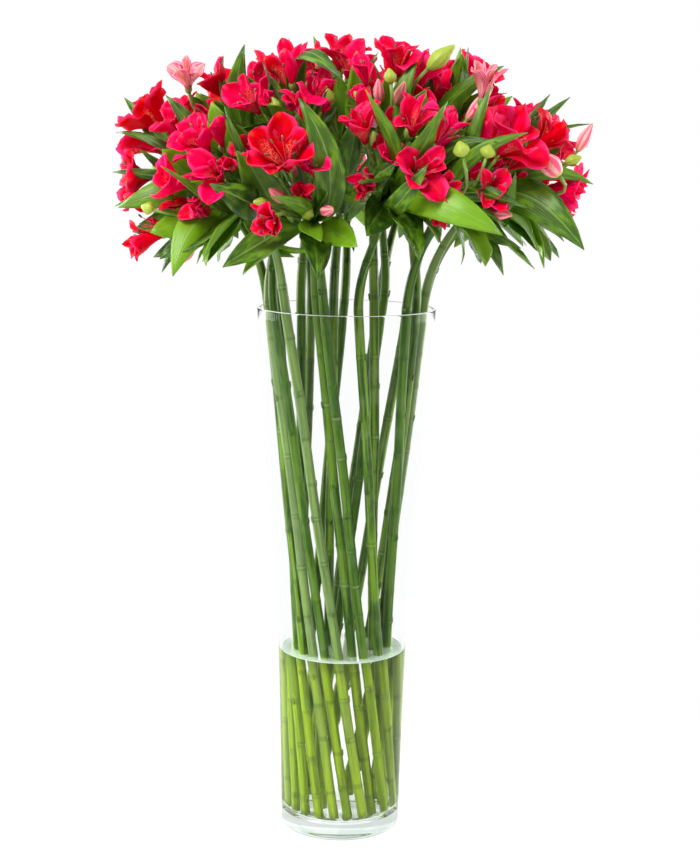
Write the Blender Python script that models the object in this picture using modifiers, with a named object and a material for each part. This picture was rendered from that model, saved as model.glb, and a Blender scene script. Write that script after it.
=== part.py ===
"""A bunch of twenty alstroemeria stems in a tall flared glass vase that is about a third full of water.

Run it with: blender --background --python part.py

The origin is the centre of the vase's flat underside, +Z is up, and the side in the photograph faces -Y.
Each stem is one green solid, its stalk with its leaves, and carries one red solid, its head of flowers with
their short stalks and buds. The stalks stand in plain holes in the water.
"""

import math
import random

import bmesh
import bpy
import numpy as np
from mathutils import Matrix, Vector

# Vase, in metres
VASE_HEIGHT = 0.450
FOOT_RADIUS = 0.0508
BODY_TAPER = 0.021
FLARE_SLOPE = 0.0505
FLARE_START = 0.165
FLARE_BLEND = 0.020
GLASS_WALL = 0.0030
BASE_THICKNESS = 0.0157
HEEL_ROUNDING = 0.0045
INNER_HEEL = 0.0030
LIP_ROUNDING = 0.0010
VASE_SIDES = 36
WALL_STEPS = 4
HEEL_STEPS = 2

# Water, in metres
WATER_LEVEL = 0.158
FACE_GAP = 0.0004
HOLE_SIDES = 8
HOLE_OVERRUN = 0.012

# Stalks, in metres and degrees
STALK_RADIUS = 0.0039
NECK_RADIUS = 0.0029
STALK_SPACING = 0.0104
FOOT_REACH = 0.0405
RIM_REACH = 0.0655
RIM_PER_LEAN = 0.75
RIM_INNERMOST = 0.012
FOOT_PER_RIM = 0.62
FOOT_TWIST = 76.0
SPREAD_ROUNDS = 400
SPREAD_STEP = 0.3
HEIGHT_SAMPLES = 15
NECK_RINGS = 4
NECK_PULL = 0.385
COLLAR_LENGTH = 0.0100

# Flower heads, in metres and degrees
HEAD_DEPTH = 0.056
NEAREST_STEPS = 12
KNOT_LENGTH = 0.0050
KNOT_SIDES = 6
RAY_RADIUS = 0.0012
RAY_SIDES = 3
RAY_SPREAD = 36.0
RAY_MARGIN = 0.009
RING_LENGTH = 0.88
FACING_GAIN = 1.2
BLOOM_FLOOR = 0.030
CHANNEL = 0.0026
HEAD_OVERLAP = 0.0030
BUD_LENGTH = 0.024
BUD_WIDTH = 0.0085

# Tepals, in metres and degrees
TEPAL_LENGTH = 0.041
TEPAL_BREAK = 0.62
TEPAL_CURVE = (-8.0, 20.0)
OUTER_WIDTH = 0.0205
INNER_WIDTH = 0.0150
TIP_SHARE = 0.34
OUTER_OPENING = 52.0
INNER_OPENING = 38.0
CORE_RADIUS = 0.0026
CORE_LENGTH = 0.0060
BLADE_THICKNESS = 0.0009
SECTOR_LIMIT = math.tan(math.radians(27.0))

# Leaves, in metres and degrees
LEAF_LENGTH = 0.080
LEAF_WIDTH = 0.0265
LEAF_ROOT_WIDTH = 0.0024
LEAF_ROOT_THICKNESS = 0.0017
LEAF_DROP = 0.0068
LEAF_TURN = 137.5
LEAF_LEANS = (66.0, 76.0, 86.0, 96.0, 106.0, 116.0, 126.0)
LEAF_FLOOR = 0.487
LEAF_TRIES = 6
LEAF_SHARES = (0.12, 1.0, 0.80, 0.0)
UPRIGHT_SHARES = (0.12, 0.60, 1.0, 0.0)
UPRIGHT_LENGTH = 0.068
UPRIGHT_GAP = 0.0014
UPRIGHT_RISES = (0.012, 0.006, 0.000)
UPRIGHTS = 2
SHORTER = (1.0, 0.85, 0.7)
LEAF_CLEARANCE = 0.0006
STALK_CLEARANCE = 0.0062

# Each stem: its name, the middle of its head in metres, the height of the point on the vase's axis that the
# head leans away from, the bearing of its stalk at the rim in degrees, and its number of flowers, buds and leaves
HEADS = (
    ("low_left", (-0.144, -0.046, 0.514), 0.54, 196, 2, 1, 5),
    ("left", (-0.152, 0.006, 0.586), 0.43, 178, 5, 0, 6),
    ("left_front", (-0.109, -0.078, 0.578), 0.43, 222, 5, 0, 6),
    ("front_left", (-0.042, -0.128, 0.566), 0.43, 254, 5, 0, 6),
    ("front_right", (0.047, -0.120, 0.590), 0.43, 279, 5, 0, 7),
    ("right_front", (0.114, -0.084, 0.576), 0.43, 318, 5, 0, 7),
    ("right", (0.150, -0.018, 0.582), 0.43, 345, 4, 1, 7),
    ("far_right", (0.162, 0.052, 0.578), 0.43, 10, 3, 1, 6),
    ("crown_left", (-0.094, -0.012, 0.616), 0.43, 190, 4, 0, 5),
    ("crown_front_left", (-0.048, -0.062, 0.626), 0.43, 246, 4, 0, 5),
    ("crown_front_right", (0.036, -0.050, 0.634), 0.43, 300, 4, 1, 5),
    ("crown_right", (0.088, -0.008, 0.626), 0.43, 340, 4, 1, 5),
    ("crown_top", (-0.010, 0.014, 0.640), 0.43, 120, 4, 0, 4),
    ("crown_back_left", (-0.060, 0.066, 0.626), 0.43, 130, 4, 0, 5),
    ("crown_back_right", (0.046, 0.072, 0.624), 0.43, 60, 4, 0, 5),
    ("back_left", (-0.134, 0.080, 0.590), 0.43, 152, 4, 0, 6),
    ("back_near_left", (-0.076, 0.138, 0.584), 0.43, 118, 4, 0, 6),
    ("back", (-0.002, 0.148, 0.590), 0.43, 92, 4, 1, 6),
    ("back_near_right", (0.072, 0.138, 0.586), 0.43, 62, 4, 0, 6),
    ("back_right", (0.126, 0.110, 0.586), 0.43, 36, 4, 0, 6),
)

# Colours as red, green, blue and opacity
LEAF_GREEN = (0.10, 0.26, 0.04, 1.0)
CRIMSON = (0.72, 0.01, 0.12, 1.0)
CLEAR_GLASS = (0.86, 0.93, 0.92, 0.3)
CLEAR_WATER = (0.80, 0.90, 0.80, 0.4)


# Small helpers

def new_object(name, data, collection):
    obj = bpy.data.objects.new(name, data)
    collection.objects.link(obj)
    return obj


def mesh_from(bm, name):
    """Turn a bmesh into a mesh whose faces point out."""
    bmesh.ops.recalc_face_normals(bm, faces=bm.faces)
    mesh = bpy.data.meshes.new(name)
    bm.to_mesh(mesh)
    bm.free()
    return mesh


def evaluated_mesh(obj):
    """The mesh of an object with its modifiers applied, or of a curve with its bevel."""
    depsgraph = bpy.context.evaluated_depsgraph_get()
    return bpy.data.meshes.new_from_object(obj.evaluated_get(depsgraph))


def along(place, direction):
    """A matrix that puts a shape at a place with its Z axis in a direction."""
    return Matrix.Translation(place) @ direction.to_track_quat("Z", "Y").to_matrix().to_4x4()


def give_material(obj, colour, roughness):
    material = bpy.data.materials.new(obj.name)
    material.use_nodes = True
    shader = material.node_tree.nodes["Principled BSDF"]
    shader.inputs["Base Color"].default_value = colour
    shader.inputs["Alpha"].default_value = colour[3]
    shader.inputs["Roughness"].default_value = roughness
    shader.inputs["Metallic"].default_value = 0.0
    obj.data.materials.clear()
    obj.data.materials.append(material)


def smooth(obj, sharp_angle):
    obj.data.shade_smooth()
    obj.data.set_sharp_from_angle(angle=math.radians(sharp_angle))


# The vase and the water

def wall_radius(height):
    """Outer radius of the glass: a slight taper that runs smoothly into the flare."""
    rise = (height - FLARE_START) / FLARE_BLEND
    flare = FLARE_BLEND * math.log1p(math.exp(rise))
    return FOOT_RADIUS + BODY_TAPER * height + FLARE_SLOPE * flare


def floor_radius():
    """Radius of the flat floor inside the glass."""
    return wall_radius(BASE_THICKNESS) - GLASS_WALL - INNER_HEEL


def spaced(start, end, steps):
    return [start + (end - start) * step / steps for step in range(steps + 1)]


def turned(name, profile, collection):
    """A solid of revolution from a profile of (radius, height) points that starts and ends on the axis."""
    mesh = bpy.data.meshes.new(name)
    edges = [(index, index + 1) for index in range(len(profile) - 1)]
    mesh.from_pydata([(radius, 0.0, height) for radius, height in profile], edges, [])
    obj = new_object(name, mesh, collection)
    screw = obj.modifiers.new("turn", "SCREW")
    screw.steps = VASE_SIDES
    screw.render_steps = VASE_SIDES
    screw.use_merge_vertices = True
    screw.merge_threshold = 0.00001
    return obj


def build_vase(collection):
    """The glass, from the middle of its inner floor, up its inner side, over the lip and down to the foot."""
    lip = VASE_HEIGHT - LIP_ROUNDING
    floor = [(0.0, BASE_THICKNESS), (floor_radius(), BASE_THICKNESS)]
    inner = [(wall_radius(z) - GLASS_WALL, z) for z in spaced(BASE_THICKNESS + INNER_HEEL, lip, WALL_STEPS)]
    lip_top = [(wall_radius(lip) - GLASS_WALL + LIP_ROUNDING, VASE_HEIGHT),
               (wall_radius(lip) - LIP_ROUNDING, VASE_HEIGHT)]
    outer = [(wall_radius(z), z) for z in spaced(lip, HEEL_ROUNDING, WALL_STEPS)]
    heel_radius = wall_radius(HEEL_ROUNDING) - HEEL_ROUNDING
    heel = [(heel_radius + HEEL_ROUNDING * math.cos(angle), HEEL_ROUNDING - HEEL_ROUNDING * math.sin(angle))
            for angle in spaced(0.0, math.pi / 2, HEEL_STEPS)[1:]]
    return turned("vase", floor + inner + lip_top + outer + heel + [(0.0, 0.0)], collection)


def build_water(stalks, collection, cutters):
    """The water, clear of the glass all round, with a plain hole for each stalk."""
    low = BASE_THICKNESS + FACE_GAP
    rise = low + INNER_HEEL
    gap = GLASS_WALL + FACE_GAP / math.cos(math.pi / VASE_SIDES)
    sides = [(wall_radius(z) - gap, z) for z in (WATER_LEVEL, rise)]
    profile = [(0.0, WATER_LEVEL)] + sides + [(floor_radius() - FACE_GAP, low), (0.0, low)]
    water = turned("water", profile, collection)
    radius = (STALK_RADIUS + FACE_GAP) / math.cos(math.pi / HOLE_SIDES)
    for index, (foot, rim) in enumerate(stalks):
        way = (rim - foot).normalized()
        length = WATER_LEVEL / way.z + 2 * HOLE_OVERRUN
        start = foot - way * HOLE_OVERRUN
        rod = build_rod(start, start + way * length, radius, HOLE_SIDES)
        hole = new_object(f"stalk_hole_{index + 1:02d}", rod, cutters)
        hole.hide_render = True
        hole.display_type = "WIRE"
    cut = water.modifiers.new("stalk holes", "BOOLEAN")
    cut.operation = "DIFFERENCE"
    cut.operand_type = "COLLECTION"
    cut.collection = cutters
    cut.solver = "EXACT"
    return water


# The plan: heads, stalks, flowers and leaves

def read_heads():
    """The base and the axis of each flower head."""
    heads = []
    for name, place, lean_height, rim_bearing, flowers, buds, leaves in HEADS:
        centre = Vector(place)
        axis = (centre - Vector((0.0, 0.0, lean_height))).normalized()
        heads.append({"name": name, "centre": centre, "axis": axis, "base": centre - axis * HEAD_DEPTH,
                      "rim_bearing": math.radians(rim_bearing),
                      "flowers": flowers, "buds": buds, "leaves": leaves})
    return heads


def nearest_points(first, second):
    """The nearest points of the two heads' own lines, base to centre."""
    steps = spaced(0.0, 1.0, NEAREST_STEPS)
    pairs = [(first["base"].lerp(first["centre"], s), second["base"].lerp(second["centre"], t))
             for s in steps for t in steps]
    return min(pairs, key=lambda pair: (pair[0] - pair[1]).length)


def set_cells(heads):
    """For each head, the planes halfway to every other head: each a point and a normal towards the head."""
    for first in heads:
        first["planes"] = []
        for second in heads:
            if second is not first:
                mine, other = nearest_points(first, second)
                first["planes"].append(((mine + other) / 2, (mine - other).normalized()))


def inside(points, planes, margin):
    return all((point - middle).dot(normal) >= margin for middle, normal in planes for point in points)


def push_apart(feet, rims, fractions):
    """Move every two stalks that come too near each other apart, at the height where they are nearest."""
    for first in range(len(feet)):
        for second in range(first + 1, len(feet)):
            bottom = feet[first] - feet[second]
            apart = bottom + np.outer(fractions, rims[first] - rims[second] - bottom)
            distances = np.hypot(apart[:, 0], apart[:, 1])
            nearest = int(np.argmin(distances))
            short = STALK_SPACING - distances[nearest]
            if short > 0.0:
                push = apart[nearest] / distances[nearest] * short * SPREAD_STEP
                share = fractions[nearest]
                feet[first] += push * (1.0 - share)
                feet[second] -= push * (1.0 - share)
                rims[first] += push * share
                rims[second] -= push * share


def pull_in(feet, rims, fractions, reach):
    """Move a stalk that comes too near the glass inwards, at the height where it is nearest."""
    for index in range(len(feet)):
        line = feet[index] + np.outer(fractions, rims[index] - feet[index])
        radii = np.hypot(line[:, 0], line[:, 1])
        worst = int(np.argmax(radii - reach))
        over = radii[worst] - reach[worst]
        if over > 0.0:
            pull = line[worst] / radii[worst] * over
            feet[index] -= pull * (1.0 - fractions[worst])
            rims[index] -= pull * fractions[worst]


def place_stalks(heads):
    """Straight stalks from the vase's floor to its rim, turned round the bunch and pushed apart.

    Each stalk crosses the rim on its own bearing and stands a part of a turn further round at its foot.
    """
    fractions = np.linspace(0.0, 1.0, HEIGHT_SAMPLES)
    foot_height = BASE_THICKNESS + FACE_GAP
    heights = foot_height + (VASE_HEIGHT - foot_height) * fractions
    walls = np.array([wall_radius(height) for height in heights]) - GLASS_WALL - STALK_RADIUS - 2 * FACE_GAP
    reach = np.minimum(walls, FOOT_REACH + (RIM_REACH - FOOT_REACH) * fractions)
    feet = np.zeros((len(heads), 2))
    rims = np.zeros((len(heads), 2))
    for index, head in enumerate(heads):
        rim_bearing = head["rim_bearing"]
        foot_bearing = rim_bearing + math.radians(FOOT_TWIST)
        lean = head["base"].xy.length
        rim = min(RIM_REACH, RIM_INNERMOST + RIM_PER_LEAN * lean)
        rims[index] = rim * math.cos(rim_bearing), rim * math.sin(rim_bearing)
        feet[index] = FOOT_PER_RIM * rim * math.cos(foot_bearing), FOOT_PER_RIM * rim * math.sin(foot_bearing)
    for _ in range(SPREAD_ROUNDS):
        push_apart(feet, rims, fractions)
        pull_in(feet, rims, fractions, reach)
    stalks = []
    for foot, rim in zip(feet, rims):
        top = Vector((*rim, VASE_HEIGHT))
        bottom = Vector((*foot, foot_height))
        way = (top - bottom).normalized()
        stalks.append((bottom + way * STALK_RADIUS * way.xy.length, top))
    return stalks


def bezier(start, start_pull, end_pull, end, fraction):
    rest = 1.0 - fraction
    return (start * rest ** 3 + start_pull * 3 * rest ** 2 * fraction
            + end_pull * 3 * rest * fraction ** 2 + end * fraction ** 3)


def stalk_path(foot, rim, head):
    """A straight run inside the vase, a smooth bend above the rim and a short collar in line with the head."""
    end = head["base"] - head["axis"] * FACE_GAP
    collar = end - head["axis"] * COLLAR_LENGTH
    pull = (collar - rim).length * NECK_PULL
    start_pull = rim + (rim - foot).normalized() * pull
    end_pull = collar - head["axis"] * pull
    neck = [bezier(rim, start_pull, end_pull, collar, share) for share in spaced(0.0, 1.0, NECK_RINGS)]
    return [foot] + neck + [end]


def stalk_marks(path):
    """Points along a stalk above the rim, close enough to test a leaf's distance to it."""
    marks = [start.lerp(end, step / 4) for start, end in zip(path[1:], path[2:]) for step in range(4)]
    return [tuple(mark) for mark in marks + [path[-1]]]


def side_frame(axis):
    """Two directions square to an axis; the first points as far down as it can."""
    down = Vector((0.0, 0.0, -1.0))
    first = (down - axis * down.dot(axis)).normalized()
    return first, axis.cross(first)


def tilted(axis, first, second, bearing, angle):
    """A direction at an angle from the axis, in degrees, on a bearing round it, in radians."""
    outward = first * math.cos(bearing) + second * math.sin(bearing)
    return axis * math.cos(math.radians(angle)) + outward * math.sin(math.radians(angle))


def place_flowers(head, index):
    """Flowers and buds on their short stalks, one flower near the head's axis and the rest in a ring round it.

    A short stalk leans in towards the head's axis until its flower is clear of the neighbouring heads.
    """
    chance = random.Random(100 + index)
    axis = head["axis"]
    first, second = side_frame(axis)
    ring = head["flowers"] + head["buds"] - 1
    start = chance.uniform(0.0, 2 * math.pi)
    rays = []
    for number in range(ring + 1):
        in_middle = number == 0
        bearing = start + 2 * math.pi * number / ring + chance.uniform(-0.12, 0.12)
        spread = 4.0 if in_middle else RAY_SPREAD + chance.uniform(-4.0, 4.0)
        length = HEAD_DEPTH * (1.0 if in_middle else RING_LENGTH) * chance.uniform(0.94, 1.04)
        while spread > 2.0:
            end = head["base"] + tilted(axis, first, second, bearing, spread) * length
            facing = tilted(axis, first, second, bearing, spread * FACING_GAIN)
            if inside([end, end + facing * TEPAL_LENGTH], head["planes"], RAY_MARGIN):
                break
            spread -= 2.0
        inward = (axis - facing * axis.dot(facing)).normalized()
        jitter = [chance.uniform(-5.0, 5.0) for _ in range(6)]
        rays.append({"base": end, "axis": facing, "first": inward, "jitter": jitter,
                     "is_bud": number >= head["flowers"]})
    head["rays"] = rays


def set_flower_cells(head):
    """The planes that each flower of a head keeps to: the head's own, and nearly halfway to its other flowers."""
    floor = (head["base"] + head["axis"] * BLOOM_FLOOR, head["axis"])
    limits = [(middle + normal * CHANNEL, normal) for middle, normal in head["planes"]] + [floor]
    for ray in head["rays"]:
        ray["planes"] = list(limits)
        for other in head["rays"]:
            if other is not ray:
                lean = ray["axis"] - other["axis"]
                between = (ray["base"] - other["base"] + lean * CORE_LENGTH).normalized()
                away = (between + lean * 0.3).normalized()
                middle = (ray["base"] + other["base"]) / 2
                ray["planes"].append((middle - away * HEAD_OVERLAP, away))


def tepal_points(base, axis, outward, opening, length):
    """The middle of a tepal's broadest place and its tip; it curves out towards the tip."""
    low, high = (math.radians(opening + curve) for curve in TEPAL_CURVE)
    root = base + axis * CORE_LENGTH / 2 + outward * CORE_RADIUS
    broad = root + (axis * math.cos(low) + outward * math.sin(low)) * length * TEPAL_BREAK
    tip = broad + (axis * math.cos(high) + outward * math.sin(high)) * length * (1.0 - TEPAL_BREAK)
    return broad, tip


def fit_tepal(flower, outward, opening, width):
    """Close a tepal towards its flower's axis, then shorten it, until it is clear of the neighbouring heads."""
    base, axis = flower["base"], flower["axis"]
    across = axis.cross(outward)
    for share in (1.0, 0.9, 0.8, 0.7, 0.6, 0.5):
        for bend in range(0, 45, 5):
            broad, tip = tepal_points(base, axis, outward, opening - bend, TEPAL_LENGTH * share)
            radial = (broad - base).dot(outward) - BLADE_THICKNESS
            half_width = min(width / 2, radial * SECTOR_LIMIT)
            corners = [broad + across * half_width, broad - across * half_width,
                       tip + across * half_width * TIP_SHARE, tip - across * half_width * TIP_SHARE]
            if half_width > CORE_RADIUS and inside(corners, flower["planes"], 0.0):
                return broad, tip, half_width, opening - bend
    return None


def leaf_line(root, axis, outward, angle, droop, length):
    """Centre points of a leaf at its root, a third and two thirds along, and its tip."""
    points = [root]
    for step in range(3):
        lean = math.radians(angle + droop * step)
        points.append(points[-1] + (axis * math.cos(lean) + outward * math.sin(lean)) * length / 3)
    return points


def leaf_marks(points, side, width, shares):
    """Points all over a leaf, close enough to test its distance to a stalk."""
    marks = [points[-1]]
    for start, end, low, high in zip(points, points[1:], shares, shares[1:]):
        for step in range(4):
            middle = start.lerp(end, step / 4)
            half = width / 2 * (low + (high - low) * step / 4)
            marks += [middle + side * half * across for across in (-1.0, -0.5, 0.0, 0.5, 1.0)]
    return marks


def clear_of(marks, others):
    gaps = np.linalg.norm(np.array(marks)[:, None, :] - others[None, :, :], axis=2)
    return gaps.min() > STALK_CLEARANCE


def fit_leaf(head, outward, chance, others):
    """Try a leaf at several leans, then shorter, until it is clear of the other stems and of the flowers."""
    side = head["axis"].cross(outward)
    ceiling = (head["base"] + head["axis"] * (BLOOM_FLOOR - FACE_GAP), -head["axis"])
    floor = (Vector((0.0, 0.0, LEAF_FLOOR)), Vector((0.0, 0.0, 1.0)))
    droop = chance.uniform(4.0, 16.0)
    size = chance.uniform(0.85, 1.1)
    for shorter in SHORTER:
        for angle in LEAF_LEANS:
            length = LEAF_LENGTH * size * shorter
            width = LEAF_WIDTH * size * shorter
            points = leaf_line(head["leaf_root"], head["axis"], outward, angle, droop, length)
            marks = leaf_marks(points, side, width, LEAF_SHARES)
            if inside(marks, head["planes"] + [ceiling, floor], LEAF_CLEARANCE) and clear_of(marks, others):
                return {"points": points, "side": side, "width": width, "shares": LEAF_SHARES}
    return None


def fit_upright(head, plane, others):
    """A leaf that runs out below the flowers and then up in the channel between this head and a neighbour."""
    middle, normal = plane
    axis, base = head["axis"], head["base"]
    other_planes = [other for other in head["planes"] if other is not plane]
    up = (axis - normal * axis.dot(normal)).normalized()
    side = normal.cross(up)
    out = (base - middle).dot(normal) - UPRIGHT_GAP
    for rise in UPRIGHT_RISES:
        bend = base - normal * out + up * rise
        if (bend - base).dot(axis) > BLOOM_FLOOR - 4 * FACE_GAP:
            continue
        for shorter in SHORTER:
            length = UPRIGHT_LENGTH * shorter
            width = LEAF_WIDTH * shorter
            points = [head["leaf_root"], bend, bend + up * length / 2, bend + up * length]
            marks = leaf_marks(points, side, width, UPRIGHT_SHARES)
            if inside(marks, other_planes, LEAF_CLEARANCE) and clear_of(marks, others):
                return {"points": points, "side": side, "width": width, "shares": UPRIGHT_SHARES}
    return None


def place_leaves(head, index, others):
    """Leaves that stand up between the heads, and a whorl of spreading and drooping ones under the flowers."""
    chance = random.Random(500 + index)
    first, second = side_frame(head["axis"])
    head["leaf_root"] = head["base"] - head["axis"] * LEAF_DROP
    found = []
    for plane in sorted(head["planes"], key=lambda item: (item[0] - head["base"]).length):
        if len(found) < UPRIGHTS:
            leaf = fit_upright(head, plane, others)
            found += [leaf] if leaf else []
    start = chance.uniform(0.0, 2 * math.pi)
    for number in range(head["leaves"] * LEAF_TRIES):
        if len(found) < head["leaves"]:
            bearing = start + number * math.radians(LEAF_TURN)
            leaf = fit_leaf(head, first * math.cos(bearing) + second * math.sin(bearing), chance, others)
            found += [leaf] if leaf else []
    head["leaf_list"] = found


# The solids of a stem and of its head

def grow_blade(bm, face, side, top, stations, tip, tip_half_width):
    """Extrude a four-sided face through stations of (centre, half width, half thickness), to a tip."""
    middle = face.calc_center_median()
    corners = [((vert.co - middle).dot(side) > 0, (vert.co - middle).dot(top) > 0) for vert in face.verts]
    for centre, half_width, lift in stations + [(tip, tip_half_width, Vector())]:
        face = bmesh.ops.extrude_discrete_faces(bm, faces=[face])["faces"][0]
        for vert, (is_right, is_top) in zip(face.verts, corners):
            across = side * (half_width if is_right else -half_width)
            vert.co = centre + across + (lift if is_top else -lift)
    bmesh.ops.remove_doubles(bm, verts=face.verts, dist=0.00001)


def build_flower(flower):
    """Six tepals drawn out of the sides of a small six-sided core, broad and narrow in turn."""
    axis, first = flower["axis"], flower["first"]
    second = axis.cross(first)
    frame = Matrix((first, second, axis)).transposed().to_4x4()
    place = Matrix.Translation(flower["base"] + axis * CORE_LENGTH / 2) @ frame
    bm = bmesh.new()
    bmesh.ops.create_cone(bm, segments=6, radius1=CORE_RADIUS * 0.8, radius2=CORE_RADIUS * 1.2,
                          depth=CORE_LENGTH, cap_ends=True, matrix=place)
    bm.normal_update()
    sides = [face for face in bm.faces if abs(face.normal.dot(axis)) < 0.7]
    for index, face in enumerate(sides):
        outward = (face.normal - axis * face.normal.dot(axis)).normalized()
        is_outer = math.cos(3 * math.atan2(outward.dot(second), outward.dot(first))) > 0
        opening = (OUTER_OPENING if is_outer else INNER_OPENING) + flower["jitter"][index]
        fitted = fit_tepal(flower, outward, opening, OUTER_WIDTH if is_outer else INNER_WIDTH)
        if fitted:
            broad, tip, half_width, opening = fitted
            lean = math.radians(opening)
            lift = (axis * math.sin(lean) - outward * math.cos(lean)) * BLADE_THICKNESS / 2
            station = (broad, half_width, lift)
            grow_blade(bm, face, axis.cross(outward), axis, [station], tip, half_width * TIP_SHARE)
    return mesh_from(bm, "flower")


def build_rod(start, end, radius, sides):
    """A straight rod between two points."""
    bm = bmesh.new()
    bmesh.ops.create_cone(bm, segments=sides, radius1=radius, radius2=radius, depth=(end - start).length,
                          cap_ends=True, matrix=along((start + end) / 2, end - start))
    return mesh_from(bm, "rod")


def build_bud(ray):
    """A bud with its root sunk over the end of its short stalk."""
    size = Matrix.Diagonal((BUD_WIDTH / 2, BUD_WIDTH / 2, BUD_LENGTH / 2, 1.0))
    bm = bmesh.new()
    bmesh.ops.create_uvsphere(bm, u_segments=5, v_segments=4, radius=1.0,
                              matrix=along(ray["base"] + ray["axis"] * BUD_LENGTH * 0.42, ray["axis"]) @ size)
    return mesh_from(bm, "bud")


def build_head(head):
    """The meshes of one head: the end of its stalk, and each flower or bud on its own short stalk."""
    base, axis = head["base"], head["axis"]
    meshes = [build_rod(base, base + axis * KNOT_LENGTH, NECK_RADIUS, KNOT_SIDES)]
    for ray in head["rays"]:
        meshes.append(build_rod(base + axis * KNOT_LENGTH / 2, ray["base"] + ray["axis"] * CORE_LENGTH / 3,
                                RAY_RADIUS, RAY_SIDES))
        meshes.append(build_bud(ray) if ray["is_bud"] else build_flower(ray))
    return meshes


def build_leaf(leaf):
    """A blade drawn out of a small block that is sunk in the stalk."""
    points, side = leaf["points"], leaf["side"]
    way = (points[1] - points[0]).normalized()
    top = way.cross(side)
    frame = Matrix((side, top, way)).transposed().to_4x4()
    size = Matrix.Diagonal((LEAF_ROOT_WIDTH, LEAF_ROOT_THICKNESS, LEAF_ROOT_WIDTH, 1.0))
    bm = bmesh.new()
    bmesh.ops.create_cube(bm, size=1.0, matrix=Matrix.Translation(points[0]) @ frame @ size)
    bm.normal_update()
    face = max(bm.faces, key=lambda item: item.normal.dot(way))
    stations = []
    for step in (1, 2):
        tangent = (points[step + 1] - points[step - 1]).normalized()
        lift = tangent.cross(side) * BLADE_THICKNESS / 2
        stations.append((points[step], leaf["width"] / 2 * leaf["shares"][step], lift))
    grow_blade(bm, face, side, top, stations, points[3], 0.0)
    return mesh_from(bm, "leaf")


def build_stalk(path):
    """A six-sided tube that narrows in its neck."""
    curve = bpy.data.curves.new("stalk", "CURVE")
    curve.dimensions = "3D"
    curve.bevel_depth = STALK_RADIUS
    curve.bevel_resolution = 1
    curve.use_fill_caps = True
    spline = curve.splines.new("POLY")
    spline.points.add(len(path) - 1)
    for index, (point, place) in enumerate(zip(spline.points, path)):
        share = max(0.0, (index - 1) / (len(path) - 2))
        point.co = (*place, 1.0)
        point.radius = 1.0 + (NECK_RADIUS / STALK_RADIUS - 1.0) * share
    tube = new_object("stalk_curve", curve, bpy.context.scene.collection)
    bpy.context.view_layer.update()
    bm = bmesh.new()
    bm.from_mesh(evaluated_mesh(tube))
    bpy.data.objects.remove(tube)
    bmesh.ops.remove_doubles(bm, verts=bm.verts, dist=0.00001)
    return mesh_from(bm, "stalk")


def drop_scraps(mesh):
    """Keep only the largest body of a mesh, because a crossing can leave a loose sliver."""
    bm = bmesh.new()
    bm.from_mesh(mesh)
    unseen = set(bm.verts)
    bodies = []
    while unseen:
        body = [unseen.pop()]
        for vert in body:
            linked = {edge.other_vert(vert) for edge in vert.link_edges} & unseen
            unseen -= linked
            body += sorted(linked, key=lambda item: item.index)
        bodies.append(body)
    largest = max(bodies, key=len)
    scraps = [vert for body in bodies if body is not largest for vert in body]
    bmesh.ops.delete(bm, geom=scraps, context="VERTS")
    bm.to_mesh(mesh)
    bm.free()


def fuse(name, meshes, collection):
    """Join overlapping meshes in one solid with one union on a collection."""
    body = new_object(name, meshes[0], collection)
    pieces = bpy.data.collections.new(f"{name}_pieces")
    bpy.context.scene.collection.children.link(pieces)
    for mesh in meshes[1:]:
        new_object(f"{name}_piece", mesh, pieces)
    union = body.modifiers.new("union", "BOOLEAN")
    union.operation = "UNION"
    union.operand_type = "COLLECTION"
    union.collection = pieces
    union.solver = "MANIFOLD"
    bpy.context.view_layer.update()
    fused = evaluated_mesh(body)
    drop_scraps(fused)
    body.modifiers.clear()
    body.data = fused
    for piece in list(pieces.objects):
        bpy.data.objects.remove(piece)
    bpy.data.collections.remove(pieces)
    return body


def main():
    for obj in list(bpy.data.objects):
        bpy.data.objects.remove(obj)
    bunch = bpy.data.collections.new("alstroemeria_bunch")
    cutters = bpy.data.collections.new("cutters")
    bpy.context.scene.collection.children.link(bunch)
    bpy.context.scene.collection.children.link(cutters)

    heads = read_heads()
    set_cells(heads)
    stalks = place_stalks(heads)
    paths = [stalk_path(foot, rim, head) for (foot, rim), head in zip(stalks, heads)]

    for index, (head, path) in enumerate(zip(heads, paths)):
        others = np.array([mark for other in paths if other is not path for mark in stalk_marks(other)])
        place_flowers(head, index)
        set_flower_cells(head)
        place_leaves(head, index, others)
        leaves = [build_leaf(leaf) for leaf in head["leaf_list"]]
        stem = fuse(f"stem_{head['name']}", [build_stalk(path)] + leaves, bunch)
        give_material(stem, LEAF_GREEN, 0.55)
        smooth(stem, 40.0)
        flowers = fuse(f"flowers_{head['name']}", build_head(head), bunch)
        give_material(flowers, CRIMSON, 0.5)

    vase = build_vase(bunch)
    give_material(vase, CLEAR_GLASS, 0.02)
    smooth(vase, 40.0)
    water = build_water(stalks, bunch, cutters)
    give_material(water, CLEAR_WATER, 0.0)


main()
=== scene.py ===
"""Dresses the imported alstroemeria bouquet: a clear flared vase with water, leafy stalks and crimson flowers.

It is laid out as an add-on and run as a script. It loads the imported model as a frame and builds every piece
round it. The plan of the bunch is the one that the solids were made from, so each stalk, leaf and flower
stays where it is.
"""

import math
import random

import bpy
import numpy as np
from mathutils import Matrix, Vector


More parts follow.
